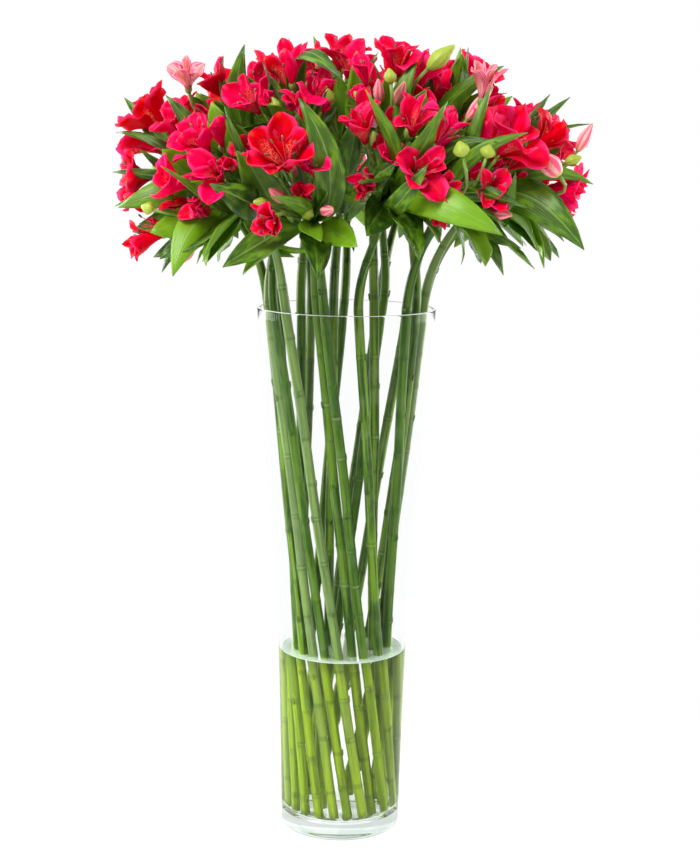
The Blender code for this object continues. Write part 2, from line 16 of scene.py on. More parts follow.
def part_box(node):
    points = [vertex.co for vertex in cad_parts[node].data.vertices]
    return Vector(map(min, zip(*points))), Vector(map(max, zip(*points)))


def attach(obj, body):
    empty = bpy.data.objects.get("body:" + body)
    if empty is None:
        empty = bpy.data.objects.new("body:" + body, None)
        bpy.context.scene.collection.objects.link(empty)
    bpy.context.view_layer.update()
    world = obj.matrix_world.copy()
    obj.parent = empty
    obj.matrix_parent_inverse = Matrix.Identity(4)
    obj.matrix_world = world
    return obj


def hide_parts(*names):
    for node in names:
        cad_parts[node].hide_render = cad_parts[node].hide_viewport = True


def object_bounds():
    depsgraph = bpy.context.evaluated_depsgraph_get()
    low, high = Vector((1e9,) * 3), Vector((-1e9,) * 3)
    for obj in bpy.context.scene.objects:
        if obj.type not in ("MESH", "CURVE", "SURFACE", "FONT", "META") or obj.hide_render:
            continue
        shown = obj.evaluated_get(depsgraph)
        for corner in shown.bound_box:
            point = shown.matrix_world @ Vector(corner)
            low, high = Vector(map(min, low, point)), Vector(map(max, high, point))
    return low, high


bl_info = {
    "name": "Alstroemeria Bouquet in a Glass Vase",
    "version": (1, 0, 0),
    "blender": (4, 5, 0),
    "location": "3D View > Sidebar > Bouquet",
    "description": "Builds the glass, the water, the stalks, the leaves and the flowers round the frame",
    "category": "Add Mesh",
}

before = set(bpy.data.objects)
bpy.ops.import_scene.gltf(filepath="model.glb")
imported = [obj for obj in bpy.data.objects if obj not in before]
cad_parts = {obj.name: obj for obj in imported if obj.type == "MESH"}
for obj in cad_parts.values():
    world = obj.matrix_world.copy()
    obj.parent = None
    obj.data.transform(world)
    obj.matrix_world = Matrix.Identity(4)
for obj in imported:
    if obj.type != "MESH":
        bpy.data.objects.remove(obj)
CAD_BOX = [list(corner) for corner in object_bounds()]
BOX_MARGIN = 0.0004
BOX_ROOM = 0.003

# Vase, in metres
VASE_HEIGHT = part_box("vase")[1].z
FOOT_RADIUS = 0.0508
BODY_TAPER = 0.021
FLARE_SLOPE = 0.0505
FLARE_START = 0.165
FLARE_BLEND = 0.020
GLASS_WALL = 0.0030
BASE_THICKNESS = 0.0157
HEEL_ROUNDING = 0.0045
INNER_HEEL = 0.0045
WATER_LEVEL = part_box("water")[1].z
FACE_GAP = 0.0004

# Stalks, in metres and degrees
STALK_RADIUS = 0.0039
NECK_RADIUS = 0.0029
STALK_SPACING = 0.0104
FOOT_REACH = 0.0405
RIM_REACH = 0.0655
RIM_PER_LEAN = 0.75
RIM_INNERMOST = 0.012
FOOT_PER_RIM = 0.62
FOOT_TWIST = 76.0
SPREAD_ROUNDS = 400
SPREAD_STEP = 0.3
HEIGHT_SAMPLES = 15
NECK_RINGS = 4
NECK_PULL = 0.385
COLLAR_LENGTH = 0.0100

# Flower heads, in metres and degrees
HEAD_DEPTH = 0.056
NEAREST_STEPS = 12
KNOT_LENGTH = 0.0050
KNOT_SUNK = 0.002
KNOT_RADII = (0.002842, 0.0022)
RAY_RADII = (0.0012, 0.00138)
RAY_SUNK = 0.001
RAY_SPREAD = 36.0
RAY_MARGIN = 0.009
RING_LENGTH = 0.88
FACING_GAIN = 1.2
BLOOM_FLOOR = 0.030
CHANNEL = 0.0026
HEAD_OVERLAP = 0.0030

# Tepals, in metres and degrees
TEPAL_LENGTH = 0.041
TEPAL_BREAK = 0.62
TEPAL_CURVE = (-8.0, 20.0)
OUTER_WIDTH = 0.0205
INNER_WIDTH = 0.0150
TIP_SHARE = 0.34
OUTER_OPENING = 52.0
INNER_OPENING = 38.0
CORE_RADIUS = 0.0026
CORE_LENGTH = 0.0060
BLADE_THICKNESS = 0.0009
SECTOR_LIMIT = math.tan(math.radians(27.0))

# Leaves, in metres and degrees
LEAF_LENGTH = 0.080
LEAF_WIDTH = 0.0265
LEAF_DROP = 0.0068
LEAF_TURN = 137.5
LEAF_LEANS = (66.0, 76.0, 86.0, 96.0, 106.0, 116.0, 126.0)
LEAF_FLOOR = 0.487
LEAF_TRIES = 6
LEAF_SHARES = (0.12, 1.0, 0.80, 0.0)
UPRIGHT_SHARES = (0.12, 0.60, 1.0, 0.0)
UPRIGHT_LENGTH = 0.068
UPRIGHT_GAP = 0.0014
UPRIGHT_RISES = (0.012, 0.006, 0.000)
UPRIGHTS = 2
SHORTER = (1.0, 0.85, 0.7)
LEAF_CLEARANCE = 0.0006
STALK_CLEARANCE = 0.0062

# The finer glass and water, in metres
MERGE_DISTANCE = 0.000001
THIN_GLASS_IOR = 1.10
THICK_GLASS_IOR = 1.46
WATER_IOR = 1.28
UNDERSIDE_HOLLOW = 0.0010
HOLLOW_EDGES = (0.012, 0.006)
# Height of the painted shade line along the bottom of the foot
PAINTED_FOOT_SHADE = 0.0040
# Height of the band at the top of the lip that carries the painted highlight
LIP_LINE = 0.0006
WALL_RINGS = 40
WATER_TOUCH = 0.0003
WATER_RINGS = 20
MENISCUS = 0.0006
MENISCUS_DEPTH = 0.75
SHEEN_RADII = (0.040, 0.0495)

# The finer stalks and their leaf scars, in metres
STALK_RINGS = 70
STALK_SWAY = 0.0004
STALK_DETAIL = 2
WET_EDGE = (-0.015, 0.008)
FIRST_SCAR = (0.012, 0.030)
LAST_SCAR = 0.035
SCAR_SPACING = (0.024, 0.052)
SCAR_STRENGTH = (0.20, 1.00)
SCAR_REACH = 0.0034
SCAR_RINGS = (-1.0, -0.45, 0.0, 0.3, 1.0)
SCAR_SWELL = 0.075
SCALE_SIZE = (0.0019, 0.0011, 0.0030)
SCALE_SEAT = 0.86
SCALE_DRYNESS = 0.35

# The finer leaves, in metres, degrees and shares of a leaf's length or width
LEAF_COLUMNS = 6
LEAF_ROWS = 11
LEAF_THICKNESS = 0.0004
LEAF_FULLNESS = (0.92, 1.22)
LEAF_SAG = 0.004
LEAF_ROOT_TURN = 150.0
LEAF_ROOT_SHARE = 0.13
LEAF_TIP_SHARE = 0.02
LEAF_SWEEP = 0.17
LEAF_TWIST = 62.0
LEAF_CURL = (-0.10, 0.06)
LEAF_BOW = (-0.00168294197, 0.00252441295)
LEAF_FOLD = (0.16, 0.42)
LEAF_RIPPLE = (0.06, 0.19)
LEAF_RIPPLES = (1.6, 2.8)
SEEN_FREEDOM = 0.5
SEEN_WIDTH = 0.95

# The finer petals, in metres, degrees and shares of a petal's length or width. An outline is where the blade
# is broadest, how narrow its claw and its tip are, and how much broader it is than planned.
TEPAL_COLUMNS = 6
TEPAL_ROWS = 10
TEPAL_THICKNESS = 0.00045
TEPAL_STRETCH = 0.95
TEPAL_SIZES = (0.80, 1.00)
TEPAL_LEANS = (-28.0, 20.0)
TEPAL_TWIST = 30.0
TEPAL_SWAY = 0.11
OUTER_OUTLINE = (0.70, 0.20, 0.180, 1.40)
INNER_OUTLINE = (0.75, 0.24, 0.132, 1.38)
TIP_CURL = (-52.0, 40.0)
CUP = (0.18, 0.74)
CRUMPLE = 0.13
RUFFLE = 0.20
RUFFLES = 2.0
MIDRIB_GROOVE = 0.05
MUCRO = 0.0018
SHUT_BEND = 34.0
SHUT_SHARE = 0.5
SHUT_WIDTH = 0.0042
CORE_BEARINGS = (60.0, 0.0, -60.0, -120.0, 180.0, 120.0)
FACE_TILT = 15.0
FACE_SPIN = 40.0
OPENNESS = (-24.0, 8.0)
HERO_SIZE = 1.12
HERO_OPENNESS = (0.0, 6.0)
HALF_OPEN_SIZE = 0.74
PETAL_CONE = 0.60

# The smaller flowers and buds between the planned ones, in metres and degrees. A ring is how far they lean
# from the head's axis, their stalks' and their own sizes, and how much further than its stalk a flower leans.
SHOOT_RINGS = (
    ((40.0, 56.0), (0.66, 0.86), (0.72, 0.90), 1.2),
    ((14.0, 26.0), (0.60, 0.80), (0.66, 0.84), 1.0),
    ((58.0, 74.0), (0.56, 0.74), (0.64, 0.80), 1.05),
)
SHOOT_KINDS = ("flower", "flower", "flower", "green bud", "flower", "flower", "flower", "ripe bud")
SHOOT_FLOOR = 0.532
SHOOT_MARGIN = 0.002
SHOOT_OVERLAP = 0.010
SHOOT_OPENNESS = (-34.0, -14.0)
BUD_SHAPES = {"planned bud": (0.00935, 0.024), "green bud": (0.0100, 0.0150), "ripe bud": (0.0100, 0.0230)}
BUD_GROWTH = (0.85, 1.1)
RIPENESS = {"planned bud": (0.0, 1.0), "green bud": (0.0, 0.15), "ripe bud": (0.6, 1.0)}

# The leaves that only this model has, in metres and degrees
INNER_LEAVES = 6
INNER_LEAF_TRIES = 10
INNER_LEAF_LENGTH = (0.068, 0.112)
INNER_LEAF_SIZES = (0.75, 1.0)
INNER_LEAF_SHAPE = (0.17, 0.25)
INNER_LEAF_LEAN = (4.0, 50.0)
INNER_LEAF_BEND = (-6.0, 18.0)
NECK_LEAVES = 8
NECK_LEAF_LEAN = (5.0, 30.0)
NECK_LEAF_BEND = (-4.0, 10.0)

# Stamens and the flowers' ribbed bases, in metres and degrees
STAMENS = 6
STAMEN_LENGTH = 0.024
STAMEN_BEND = 0.006
FILAMENT_RADIUS = 0.0005
ANTHER_LEAN = 35.0
ANTHER_SIZE = (0.0010, 0.0008, 0.0022)
OVARY_RADIUS = 0.0028
OVARY_LENGTH = 0.0085

# The view of the photograph: where it was taken from in metres, how far it looks down and leans in degrees,
# the focal length in millimetres and the picture's size in pixels
VIEW_PLACE = Vector((0.0043, -1.448, 0.589))
VIEW_PITCH = 9.42
VIEW_ROLL = 0.8
VIEW_LENS = 73.3
SENSOR = 36.0
PICTURE = (700, 854)

# The leaves that the photograph shows on each head: the pixels of a leaf's middle and its tip, their depths
# behind the vase's axis and its width in metres, its turn in degrees (0 shows its underside, 180 its upper
# face) and how fresh its green is
LEAVES_IN_VIEW = {
    "left": (
        ((150, 134), (116, 99), (0.004, 0.010), 0.017, 20, 0.20),
        ((148, 143), (113, 139), (-0.020, -0.005), 0.009, 200, 0.05),
        ((152, 173), (111, 169), (-0.035, -0.020), 0.010, 160, 0.05),
        ((166, 189), (118, 197), (-0.055, -0.050), 0.025, 190, 0.50),
        ((186, 122), (163, 95), (-0.050, -0.050), 0.017, 170, 0.05),
    ),
    "low_left": (
        ((197, 221), (172, 272), (-0.080, -0.100), 0.028, 172, 0.95),
        ((187, 232), (160, 266), (-0.010, -0.010), 0.015, 200, 0.15),
    ),
    "left_front": (
        ((195, 192), (158, 166), (-0.112, -0.115), 0.010, 30, 0.30),
        ((238, 200), (208, 189), (-0.120, -0.130), 0.022, 200, 0.10),
        ((230, 132), (217, 103), (-0.115, -0.120), 0.010, 150, 0.10),
    ),
    "front_left": (
        ((298, 201), (271, 188), (-0.150, -0.165), 0.012, 190, 0.45),
        ((332, 158), (310, 88), (-0.145, -0.150), 0.023, 12, 0.30),
    ),
    "crown_left": (
        ((222, 94), (221, 50), (-0.030, -0.025), 0.012, 30, 0.30),
        ((240, 92), (250, 42), (-0.050, -0.050), 0.020, 175, 0.30),
    ),
    "crown_front_left": (
        ((298, 82), (292, 33), (-0.040, -0.030), 0.009, 20, 0.20),
        ((304, 52), (343, 80), (-0.080, -0.115), 0.019, 165, 0.10),
    ),
    "front_right": (
        ((389, 138), (362, 85), (-0.140, -0.150), 0.014, 150, 0.45),
        ((431, 142), (458, 101), (-0.150, -0.155), 0.018, 200, 0.45),
        ((414, 187), (432, 162), (-0.160, -0.165), 0.015, 10, 0.30),
        ((376, 178), (400, 163), (-0.130, -0.140), 0.022, 170, 0.00),
        ((450, 207), (498, 235), (-0.154, -0.152), 0.025, 185, 1.00),
    ),
    "crown_right": (
        ((404, 88), (424, 60), (-0.075, -0.070), 0.021, 170, 0.45),
        ((461, 84), (465, 41), (-0.040, -0.035), 0.009, 20, 0.30),
        ((477, 86), (508, 73), (-0.055, -0.055), 0.014, 195, 0.40),
    ),
    "right_front": (
        ((477, 124), (493, 81), (-0.110, -0.105), 0.011, 160, 0.40),
        ((494, 134), (525, 117), (-0.135, -0.130), 0.012, 205, 0.50),
        ((466, 142), (498, 139), (-0.125, -0.130), 0.016, 165, 0.05),
        ((456, 180), (478, 167), (-0.130, -0.135), 0.010, 15, 0.30),
        ((490, 193), (527, 204), (-0.125, -0.130), 0.016, 200, 0.05),
        ((488, 232), (521, 244), (-0.080, -0.080), 0.012, 20, 0.30),
    ),
    "right": (
        ((529, 110), (541, 84), (-0.020, -0.015), 0.012, 190, 0.15),
        ((554, 112), (574, 99), (-0.010, 0.000), 0.010, 170, 0.15),
        ((569, 123), (592, 117), (0.005, 0.005), 0.006, 20, 0.30),
        ((559, 173), (593, 184), (-0.045, -0.040), 0.014, 195, 0.50),
        ((543, 204), (583, 243), (-0.085, -0.085), 0.030, 172, 0.25),
        ((517, 190), (525, 168), (-0.090, -0.095), 0.012, 10, 0.50),
    ),
    "crown_top": (
        ((326, 178), (321, 122), (-0.030, -0.050), 0.014, 20, 0.25),
        ((347, 172), (353, 108), (-0.020, -0.045), 0.017, 190, 0.30),
        ((359, 186), (374, 148), (-0.035, -0.055), 0.013, 165, 0.05),
        ((357, 199), (368, 210), (-0.035, -0.040), 0.010, 10, 0.40),
        ((320, 196), (298, 176), (-0.045, -0.070), 0.014, 200, 0.05),
    ),
}

# The heads whose leaves in view start lower, and how far down the neck
LOW_LEAVES = {"crown_top": 0.5}

# The buds that it shows: the pixels of a bud's base and its tip, its depth behind the vase's axis and its
# width in metres, and how ripe it is
BUDS_IN_VIEW = {
    "low_left": (
        ((154, 210), (141, 206), -0.070, 0.0100, 0.00),
    ),
    "crown_front_right": (
        ((391, 84), (389, 68), -0.095, 0.0095, 0.05),
    ),
    "crown_right": (
        ((427, 69), (455, 45), -0.070, 0.0130, 0.14),
        ((466, 121), (493, 86), -0.075, 0.0095, 1.00),
    ),
    "right_front": (
        ((463, 157), (459, 141), -0.145, 0.0125, 0.00),
        ((486, 158), (490, 144), -0.130, 0.0120, 0.00),
    ),
    "right": (
        ((560, 176), (539, 152), -0.080, 0.0165, 0.95),
        ((577, 152), (593, 123), -0.020, 0.0100, 0.50),
        ((565, 163), (582, 157), -0.030, 0.0095, 0.00),
    ),
}

# The pale young flowers that it shows: the pixels of a flower's base and its tip, their depths behind the
# vase's axis, the flower's size and how far it is from wide open, in degrees
YOUNG_IN_VIEW = {
    "crown_left": (
        ((189, 93), (184, 60), (-0.045, -0.062), 0.74, (-20.0, -16.0)),
    ),
    "crown_right": (
        ((480, 106), (489, 58), (-0.080, -0.080), 0.88, (-26.0, -20.0)),
    ),
}

# The stage, in metres
FLOOR_SIZE = 60.0
FLOOR_GAP = 0.0002
FLOOR_FADE = (0.01, 0.25)
LIGHT_SIZE = 1.1
LIGHT_TARGET = Vector((0.0, 0.0, 0.5))
KEY_LIGHT_PLACE = (-0.75, -1.5, 1.9)
SIDE_LIGHT_PLACE = (1.35, 0.65, 0.8)
BOUNCES = {"max_bounces": 32, "transmission_bounces": 32, "glossy_bounces": 16}

# Each stem: its name, the middle of its head in metres, the height of the point on the vase's axis that the
# head leans away from, the bearing of its stalk at the rim in degrees, and how many flowers, buds and leaves
# it has
HEADS = (
    ("low_left", (-0.144, -0.046, 0.514), 0.54, 196, 2, 1, 5),
    ("left", (-0.152, 0.006, 0.586), 0.43, 178, 5, 0, 6),
    ("left_front", (-0.109, -0.078, 0.578), 0.43, 222, 5, 0, 6),
    ("front_left", (-0.042, -0.128, 0.566), 0.43, 254, 5, 0, 6),
    ("front_right", (0.047, -0.120, 0.590), 0.43, 279, 5, 0, 7),
    ("right_front", (0.114, -0.084, 0.576), 0.43, 318, 5, 0, 7),
    ("right", (0.150, -0.018, 0.582), 0.43, 345, 4, 1, 7),
    ("far_right", (0.162, 0.052, 0.578), 0.43, 10, 3, 1, 6),
    ("crown_left", (-0.094, -0.012, 0.616), 0.43, 190, 4, 0, 5),
    ("crown_front_left", (-0.048, -0.062, 0.626), 0.43, 246, 4, 0, 5),
    ("crown_front_right", (0.036, -0.050, 0.634), 0.43, 300, 4, 1, 5),
    ("crown_right", (0.088, -0.008, 0.626), 0.43, 340, 4, 1, 5),
    ("crown_top", (-0.010, 0.014, 0.640), 0.43, 120, 4, 0, 4),
    ("crown_back_left", (-0.060, 0.066, 0.626), 0.43, 130, 4, 0, 5),
    ("crown_back_right", (0.046, 0.072, 0.624), 0.43, 60, 4, 0, 5),
    ("back_left", (-0.134, 0.080, 0.590), 0.43, 152, 4, 0, 6),
    ("back_near_left", (-0.076, 0.138, 0.584), 0.43, 118, 4, 0, 6),
    ("back", (-0.002, 0.148, 0.590), 0.43, 92, 4, 1, 6),
    ("back_near_right", (0.072, 0.138, 0.586), 0.43, 62, 4, 0, 6),
    ("back_right", (0.126, 0.110, 0.586), 0.43, 36, 4, 0, 6),
)

# The heads whose middle flower is wide open and large
HEROES = ("front_left", "right_front", "left")

# The planned flowers that are still half open: the head and the flower's number
HALF_OPEN = (("front_left", 4),)

# The start of the random draws of each kind of work, to which a head's own number is added
SEEDS = {"flowers": 100, "petals": 200, "blades": 300, "stamens": 400, "leaves": 500, "buds": 600,
         "scars": 700, "stalk": 900, "faces": 1000, "shoots": 1100, "inner leaves": 1200, "neck leaves": 1300}


# The plan: heads, stalks, flowers and leaves

def read_heads():
    """The base and the axis of each flower head."""
    heads = []
    for index, (name, place, lean_height, rim_bearing, flowers, buds, leaves) in enumerate(HEADS):
        centre = Vector(place)
        axis = (centre - Vector((0.0, 0.0, lean_height))).normalized()
        heads.append({"name": name, "index": index, "centre": centre, "axis": axis,
                      "base": centre - axis * HEAD_DEPTH, "rim_bearing": math.radians(rim_bearing),
                      "flowers": flowers, "buds": buds, "leaves": leaves})
    return heads


def chance_for(head, work):
    """The random draws for one kind of work on a head."""
    return random.Random(SEEDS[work] + head["index"])


def nearest_points(first, second):
    """The nearest points of the two heads' own lines, base to centre."""
    steps = spaced(0.0, 1.0, NEAREST_STEPS)
    pairs = [(first["base"].lerp(first["centre"], s), second["base"].lerp(second["centre"], t))
             for s in steps for t in steps]
    return min(pairs, key=lambda pair: (pair[0] - pair[1]).length)


def set_cells(heads):
    """For each head, the planes halfway to every other head: each a point and a normal towards the head."""
    for first in heads:
        first["planes"] = []
        for second in heads:
            if second is not first:
                mine, other = nearest_points(first, second)
                first["planes"].append(((mine + other) / 2, (mine - other).normalized()))


def inside(points, planes, margin):
    return all((point - middle).dot(normal) >= margin for middle, normal in planes for point in points)


def push_apart(feet, rims, fractions):
    """Move every two stalks that come too near each other apart, at the height where they are nearest."""
    for first in range(len(feet)):
        for second in range(first + 1, len(feet)):
            bottom = feet[first] - feet[second]
            apart = bottom + np.outer(fractions, rims[first] - rims[second] - bottom)
            distances = np.hypot(apart[:, 0], apart[:, 1])
            nearest = int(np.argmin(distances))
            short = STALK_SPACING - distances[nearest]
            if short > 0.0:
                push = apart[nearest] / distances[nearest] * short * SPREAD_STEP
                share = fractions[nearest]
                feet[first] += push * (1.0 - share)
                feet[second] -= push * (1.0 - share)
                rims[first] += push * share
                rims[second] -= push * share


def pull_in(feet, rims, fractions, reach):
    """Move a stalk that comes too near the glass inwards, at the height where it is nearest."""
    for index in range(len(feet)):
        line = feet[index] + np.outer(fractions, rims[index] - feet[index])
        radii = np.hypot(line[:, 0], line[:, 1])
        worst = int(np.argmax(radii - reach))
        over = radii[worst] - reach[worst]
        if over > 0.0:
            pull = line[worst] / radii[worst] * over
            feet[index] -= pull * (1.0 - fractions[worst])
            rims[index] -= pull * fractions[worst]


def place_stalks(heads):
    """Straight stalks from the vase's floor to its rim, turned round the bunch and pushed apart.

    Each stalk crosses the rim on its own bearing and stands a part of a turn further round at its foot.
    """
    fractions = np.linspace(0.0, 1.0, HEIGHT_SAMPLES)
    foot_height = BASE_THICKNESS + FACE_GAP
    heights = foot_height + (VASE_HEIGHT - foot_height) * fractions
    walls = np.array([wall_radius(height) for height in heights]) - GLASS_WALL - STALK_RADIUS - 2 * FACE_GAP
    reach = np.minimum(walls, FOOT_REACH + (RIM_REACH - FOOT_REACH) * fractions)
    feet = np.zeros((len(heads), 2))
    rims = np.zeros((len(heads), 2))
    for index, head in enumerate(heads):
        rim_bearing = head["rim_bearing"]
        foot_bearing = rim_bearing + math.radians(FOOT_TWIST)
        rim = min(RIM_REACH, RIM_INNERMOST + RIM_PER_LEAN * head["base"].xy.length)
        foot = FOOT_PER_RIM * rim
        rims[index] = rim * math.cos(rim_bearing), rim * math.sin(rim_bearing)
        feet[index] = foot * math.cos(foot_bearing), foot * math.sin(foot_bearing)
    for _ in range(SPREAD_ROUNDS):
        push_apart(feet, rims, fractions)
        pull_in(feet, rims, fractions, reach)
    stalks = []
    for foot, rim in zip(feet, rims):
        top = Vector((*rim, VASE_HEIGHT))
        bottom = Vector((*foot, foot_height))
        way = (top - bottom).normalized()
        stalks.append((bottom + way * STALK_RADIUS * way.xy.length, top))
    return stalks


def bezier(start, start_pull, end_pull, end, fraction):
    rest = 1.0 - fraction
    return (start * rest ** 3 + start_pull * 3 * rest ** 2 * fraction
            + end_pull * 3 * rest * fraction ** 2 + end * fraction ** 3)


def neck_curve(foot, rim, head):
    """The bend above the rim, as its ends and the two pulls between them, and the collar's far end."""
    end = head["base"] - head["axis"] * FACE_GAP
    collar = end - head["axis"] * COLLAR_LENGTH
    pull = (collar - rim).length * NECK_PULL
    return (rim, rim + (rim - foot).normalized() * pull, collar - head["axis"] * pull, collar), end


def stalk_path(foot, rim, head):
    """A straight run inside the vase, a bend above the rim and a short collar in line with the head."""
    bend, end = neck_curve(foot, rim, head)
    return [foot] + [bezier(*bend, share) for share in spaced(0.0, 1.0, NECK_RINGS)] + [end]


def stalk_marks(path):
    """Points along a stalk above the rim, close enough to test a leaf's distance to it."""
    marks = [start.lerp(end, step / 4) for start, end in zip(path[1:], path[2:]) for step in range(4)]
    return [tuple(mark) for mark in marks + [path[-1]]]


def side_frame(axis):
    """Two directions square to an axis; the first points as far down as it can."""
    down = Vector((0.0, 0.0, -1.0))
    first = (down - axis * down.dot(axis)).normalized()
    return first, axis.cross(first)


def turned_to(first, second, bearing):
    """The direction on a bearing in radians, from the first of two directions towards the second."""
    return first * math.cos(bearing) + second * math.sin(bearing)


def tilted(axis, first, second, bearing, angle):
    """A direction at an angle from the axis, in degrees, on a bearing round it, in radians."""
    return turned_to(axis, turned_to(first, second, bearing), math.radians(angle))


def place_flowers(head):
    """Flowers and buds on short stalks, one flower near the head's axis and the rest in a ring round it.

    A short stalk leans in towards the head's axis until its flower is clear of the neighbouring heads.
    """
    chance = chance_for(head, "flowers")
    axis = head["axis"]
    first, second = side_frame(axis)
    ring = head["flowers"] + head["buds"] - 1
    start = chance.uniform(0.0, 2 * math.pi)
    head["rays"] = []
    for number in range(ring + 1):
        in_middle = number == 0
        bearing = start + 2 * math.pi * number / ring + chance.uniform(-0.12, 0.12)
        spread = 4.0 if in_middle else RAY_SPREAD + chance.uniform(-4.0, 4.0)
        length = HEAD_DEPTH * (1.0 if in_middle else RING_LENGTH) * chance.uniform(0.94, 1.04)
        while spread > 2.0:
            end = head["base"] + tilted(axis, first, second, bearing, spread) * length
            facing = tilted(axis, first, second, bearing, spread * FACING_GAIN)
            if inside([end, end + facing * TEPAL_LENGTH], head["planes"], RAY_MARGIN):
                break
            spread -= 2.0
        inward = (axis - facing * axis.dot(facing)).normalized()
        head["rays"].append({"base": end, "axis": facing, "first": inward,
                             "jitter": [chance.uniform(-5.0, 5.0) for _ in range(6)],
                             "kind": "planned bud" if number >= head["flowers"] else "planned flower"})


def set_flower_cells(head):
    """The planes that each flower of a head keeps to: the head's own, and nearly halfway to its others."""
    floor = (head["base"] + head["axis"] * BLOOM_FLOOR, head["axis"])
    limits = [(middle + normal * CHANNEL, normal) for middle, normal in head["planes"]] + [floor]
    for ray in head["rays"]:
        ray["planes"] = list(limits)
        for other in head["rays"]:
            if other is not ray:
                lean = ray["axis"] - other["axis"]
                between = (ray["base"] - other["base"] + lean * CORE_LENGTH).normalized()
                away = (between + lean * 0.3).normalized()
                middle = (ray["base"] + other["base"]) / 2
                ray["planes"].append((middle - away * HEAD_OVERLAP, away))


def tepal_points(base, axis, outward, opening, length):
    """The middle of a tepal's broadest place and its tip; it curves out towards the tip."""
    low, high = (math.radians(opening + curve) for curve in TEPAL_CURVE)
    root = base + axis * CORE_LENGTH / 2 + outward * CORE_RADIUS
    broad = root + turned_to(axis, outward, low) * length * TEPAL_BREAK
    return broad, broad + turned_to(axis, outward, high) * length * (1.0 - TEPAL_BREAK)


def fit_tepal(flower, outward, opening, width):
    """Close a tepal towards its flower's axis, then shorten it, until it is clear of the other heads."""
    base, axis = flower["base"], flower["axis"]
    across = axis.cross(outward)
    for share in (1.0, 0.9, 0.8, 0.7, 0.6, 0.5):
        for bend in range(0, 45, 5):
            length = TEPAL_LENGTH * flower["size"] * share
            broad, tip = tepal_points(base, axis, outward, opening - bend, length)
            radial = (broad - base).dot(outward) - BLADE_THICKNESS
            half_width = min(width / 2, radial * SECTOR_LIMIT)
            corners = [broad + across * half_width, broad - across * half_width,
                       tip + across * half_width * TIP_SHARE, tip - across * half_width * TIP_SHARE]
            if half_width > CORE_RADIUS and inside(corners, flower["planes"], 0.0):
                return broad, tip, half_width, opening - bend
    return None


def leaf_line(root, axis, outward, angle, droop, length):
    """Centre points of a leaf at its root, a third and two thirds along, and its tip."""
    points = [root]
    for step in range(3):
        points.append(points[-1] + turned_to(axis, outward, math.radians(angle + droop * step)) * length / 3)
    return points


def leaf_marks(points, side, width, shares):
    """Points all over a leaf, close enough to test its distance to a stalk."""
    marks = [points[-1]]
    for start, end, low, high in zip(points, points[1:], shares, shares[1:]):
        for step in range(4):
            middle = start.lerp(end, step / 4)
            half = width / 2 * (low + (high - low) * step / 4)
            marks += [middle + side * half * across for across in (-1.0, -0.5, 0.0, 0.5, 1.0)]
    return marks


def clear_of(marks, others):
    gaps = np.linalg.norm(np.array(marks)[:, None, :] - others[None, :, :], axis=2)
    return gaps.min() > STALK_CLEARANCE


def fit_leaf(head, outward, chance, others):
    """Try a leaf at several leans, then shorter, until it is clear of the other stems and of the flowers."""
    side = head["axis"].cross(outward)
    ceiling = (head["base"] + head["axis"] * (BLOOM_FLOOR - FACE_GAP), -head["axis"])
    floor = (Vector((0.0, 0.0, LEAF_FLOOR)), Vector((0.0, 0.0, 1.0)))
    droop = chance.uniform(4.0, 16.0)
    size = chance.uniform(0.85, 1.1)
    for shorter in SHORTER:
        for angle in LEAF_LEANS:
            length = LEAF_LENGTH * size * shorter
            width = LEAF_WIDTH * size * shorter
            points = leaf_line(head["leaf_root"], head["axis"], outward, angle, droop, length)
            marks = leaf_marks(points, side, width, LEAF_SHARES)
            if inside(marks, head["planes"] + [ceiling, floor], LEAF_CLEARANCE) and clear_of(marks, others):
                return {"points": points, "side": side, "width": width}
    return None


def fit_upright(head, plane, others):
    """A leaf that runs out below the flowers and then up in the channel between this head and another."""
    middle, normal = plane
    axis, base = head["axis"], head["base"]
    other_planes = [other for other in head["planes"] if other is not plane]
    up = (axis - normal * axis.dot(normal)).normalized()
    side = normal.cross(up)
    out = (base - middle).dot(normal) - UPRIGHT_GAP
    for rise in UPRIGHT_RISES:
        bend = base - normal * out + up * rise
        if (bend - base).dot(axis) > BLOOM_FLOOR - 4 * FACE_GAP:
            continue
        for shorter in SHORTER:
            length = UPRIGHT_LENGTH * shorter
            width = LEAF_WIDTH * shorter
            points = [head["leaf_root"], bend, bend + up * length / 2, bend + up * length]
            marks = leaf_marks(points, side, width, UPRIGHT_SHARES)
            if inside(marks, other_planes, LEAF_CLEARANCE) and clear_of(marks, others):
                return {"points": points, "side": side, "width": width}
    return None


def place_leaves(head, others):
    """Leaves that stand up between the heads, and spreading and drooping ones under the flowers."""
    chance = chance_for(head, "leaves")
    first, second = side_frame(head["axis"])
    head["leaf_root"] = head["base"] - head["axis"] * LEAF_DROP
    found = []
    for plane in sorted(head["planes"], key=lambda item: (item[0] - head["base"]).length):
        if len(found) < UPRIGHTS:
            leaf = fit_upright(head, plane, others)
            found += [leaf] if leaf else []
    start = chance.uniform(0.0, 2 * math.pi)
    for number in range(head["leaves"] * LEAF_TRIES):
        if len(found) < head["leaves"]:
            outward = turned_to(first, second, start + number * math.radians(LEAF_TURN))
            leaf = fit_leaf(head, outward, chance, others)
            found += [leaf] if leaf else []
    head["leaf_list"] = found


# Shapes shared by the pieces

def smooth_step(value, start, end):
    """0 before start, 1 after end and a smooth rise between them."""
    share = np.clip((value - start) / (end - start), 0.0, 1.0)
    return share * share * (3.0 - 2.0 * share)


def spaced(start, end, steps):
    return [start + (end - start) * step / steps for step in range(steps + 1)]


def deselect_all():
    if bpy.context.object and bpy.context.object.mode != "OBJECT":
        bpy.ops.object.mode_set(mode="OBJECT")
    bpy.ops.object.select_all(action="DESELECT")


def make_active(obj):
    deselect_all()
    obj.select_set(True)
    bpy.context.view_layer.objects.active = obj


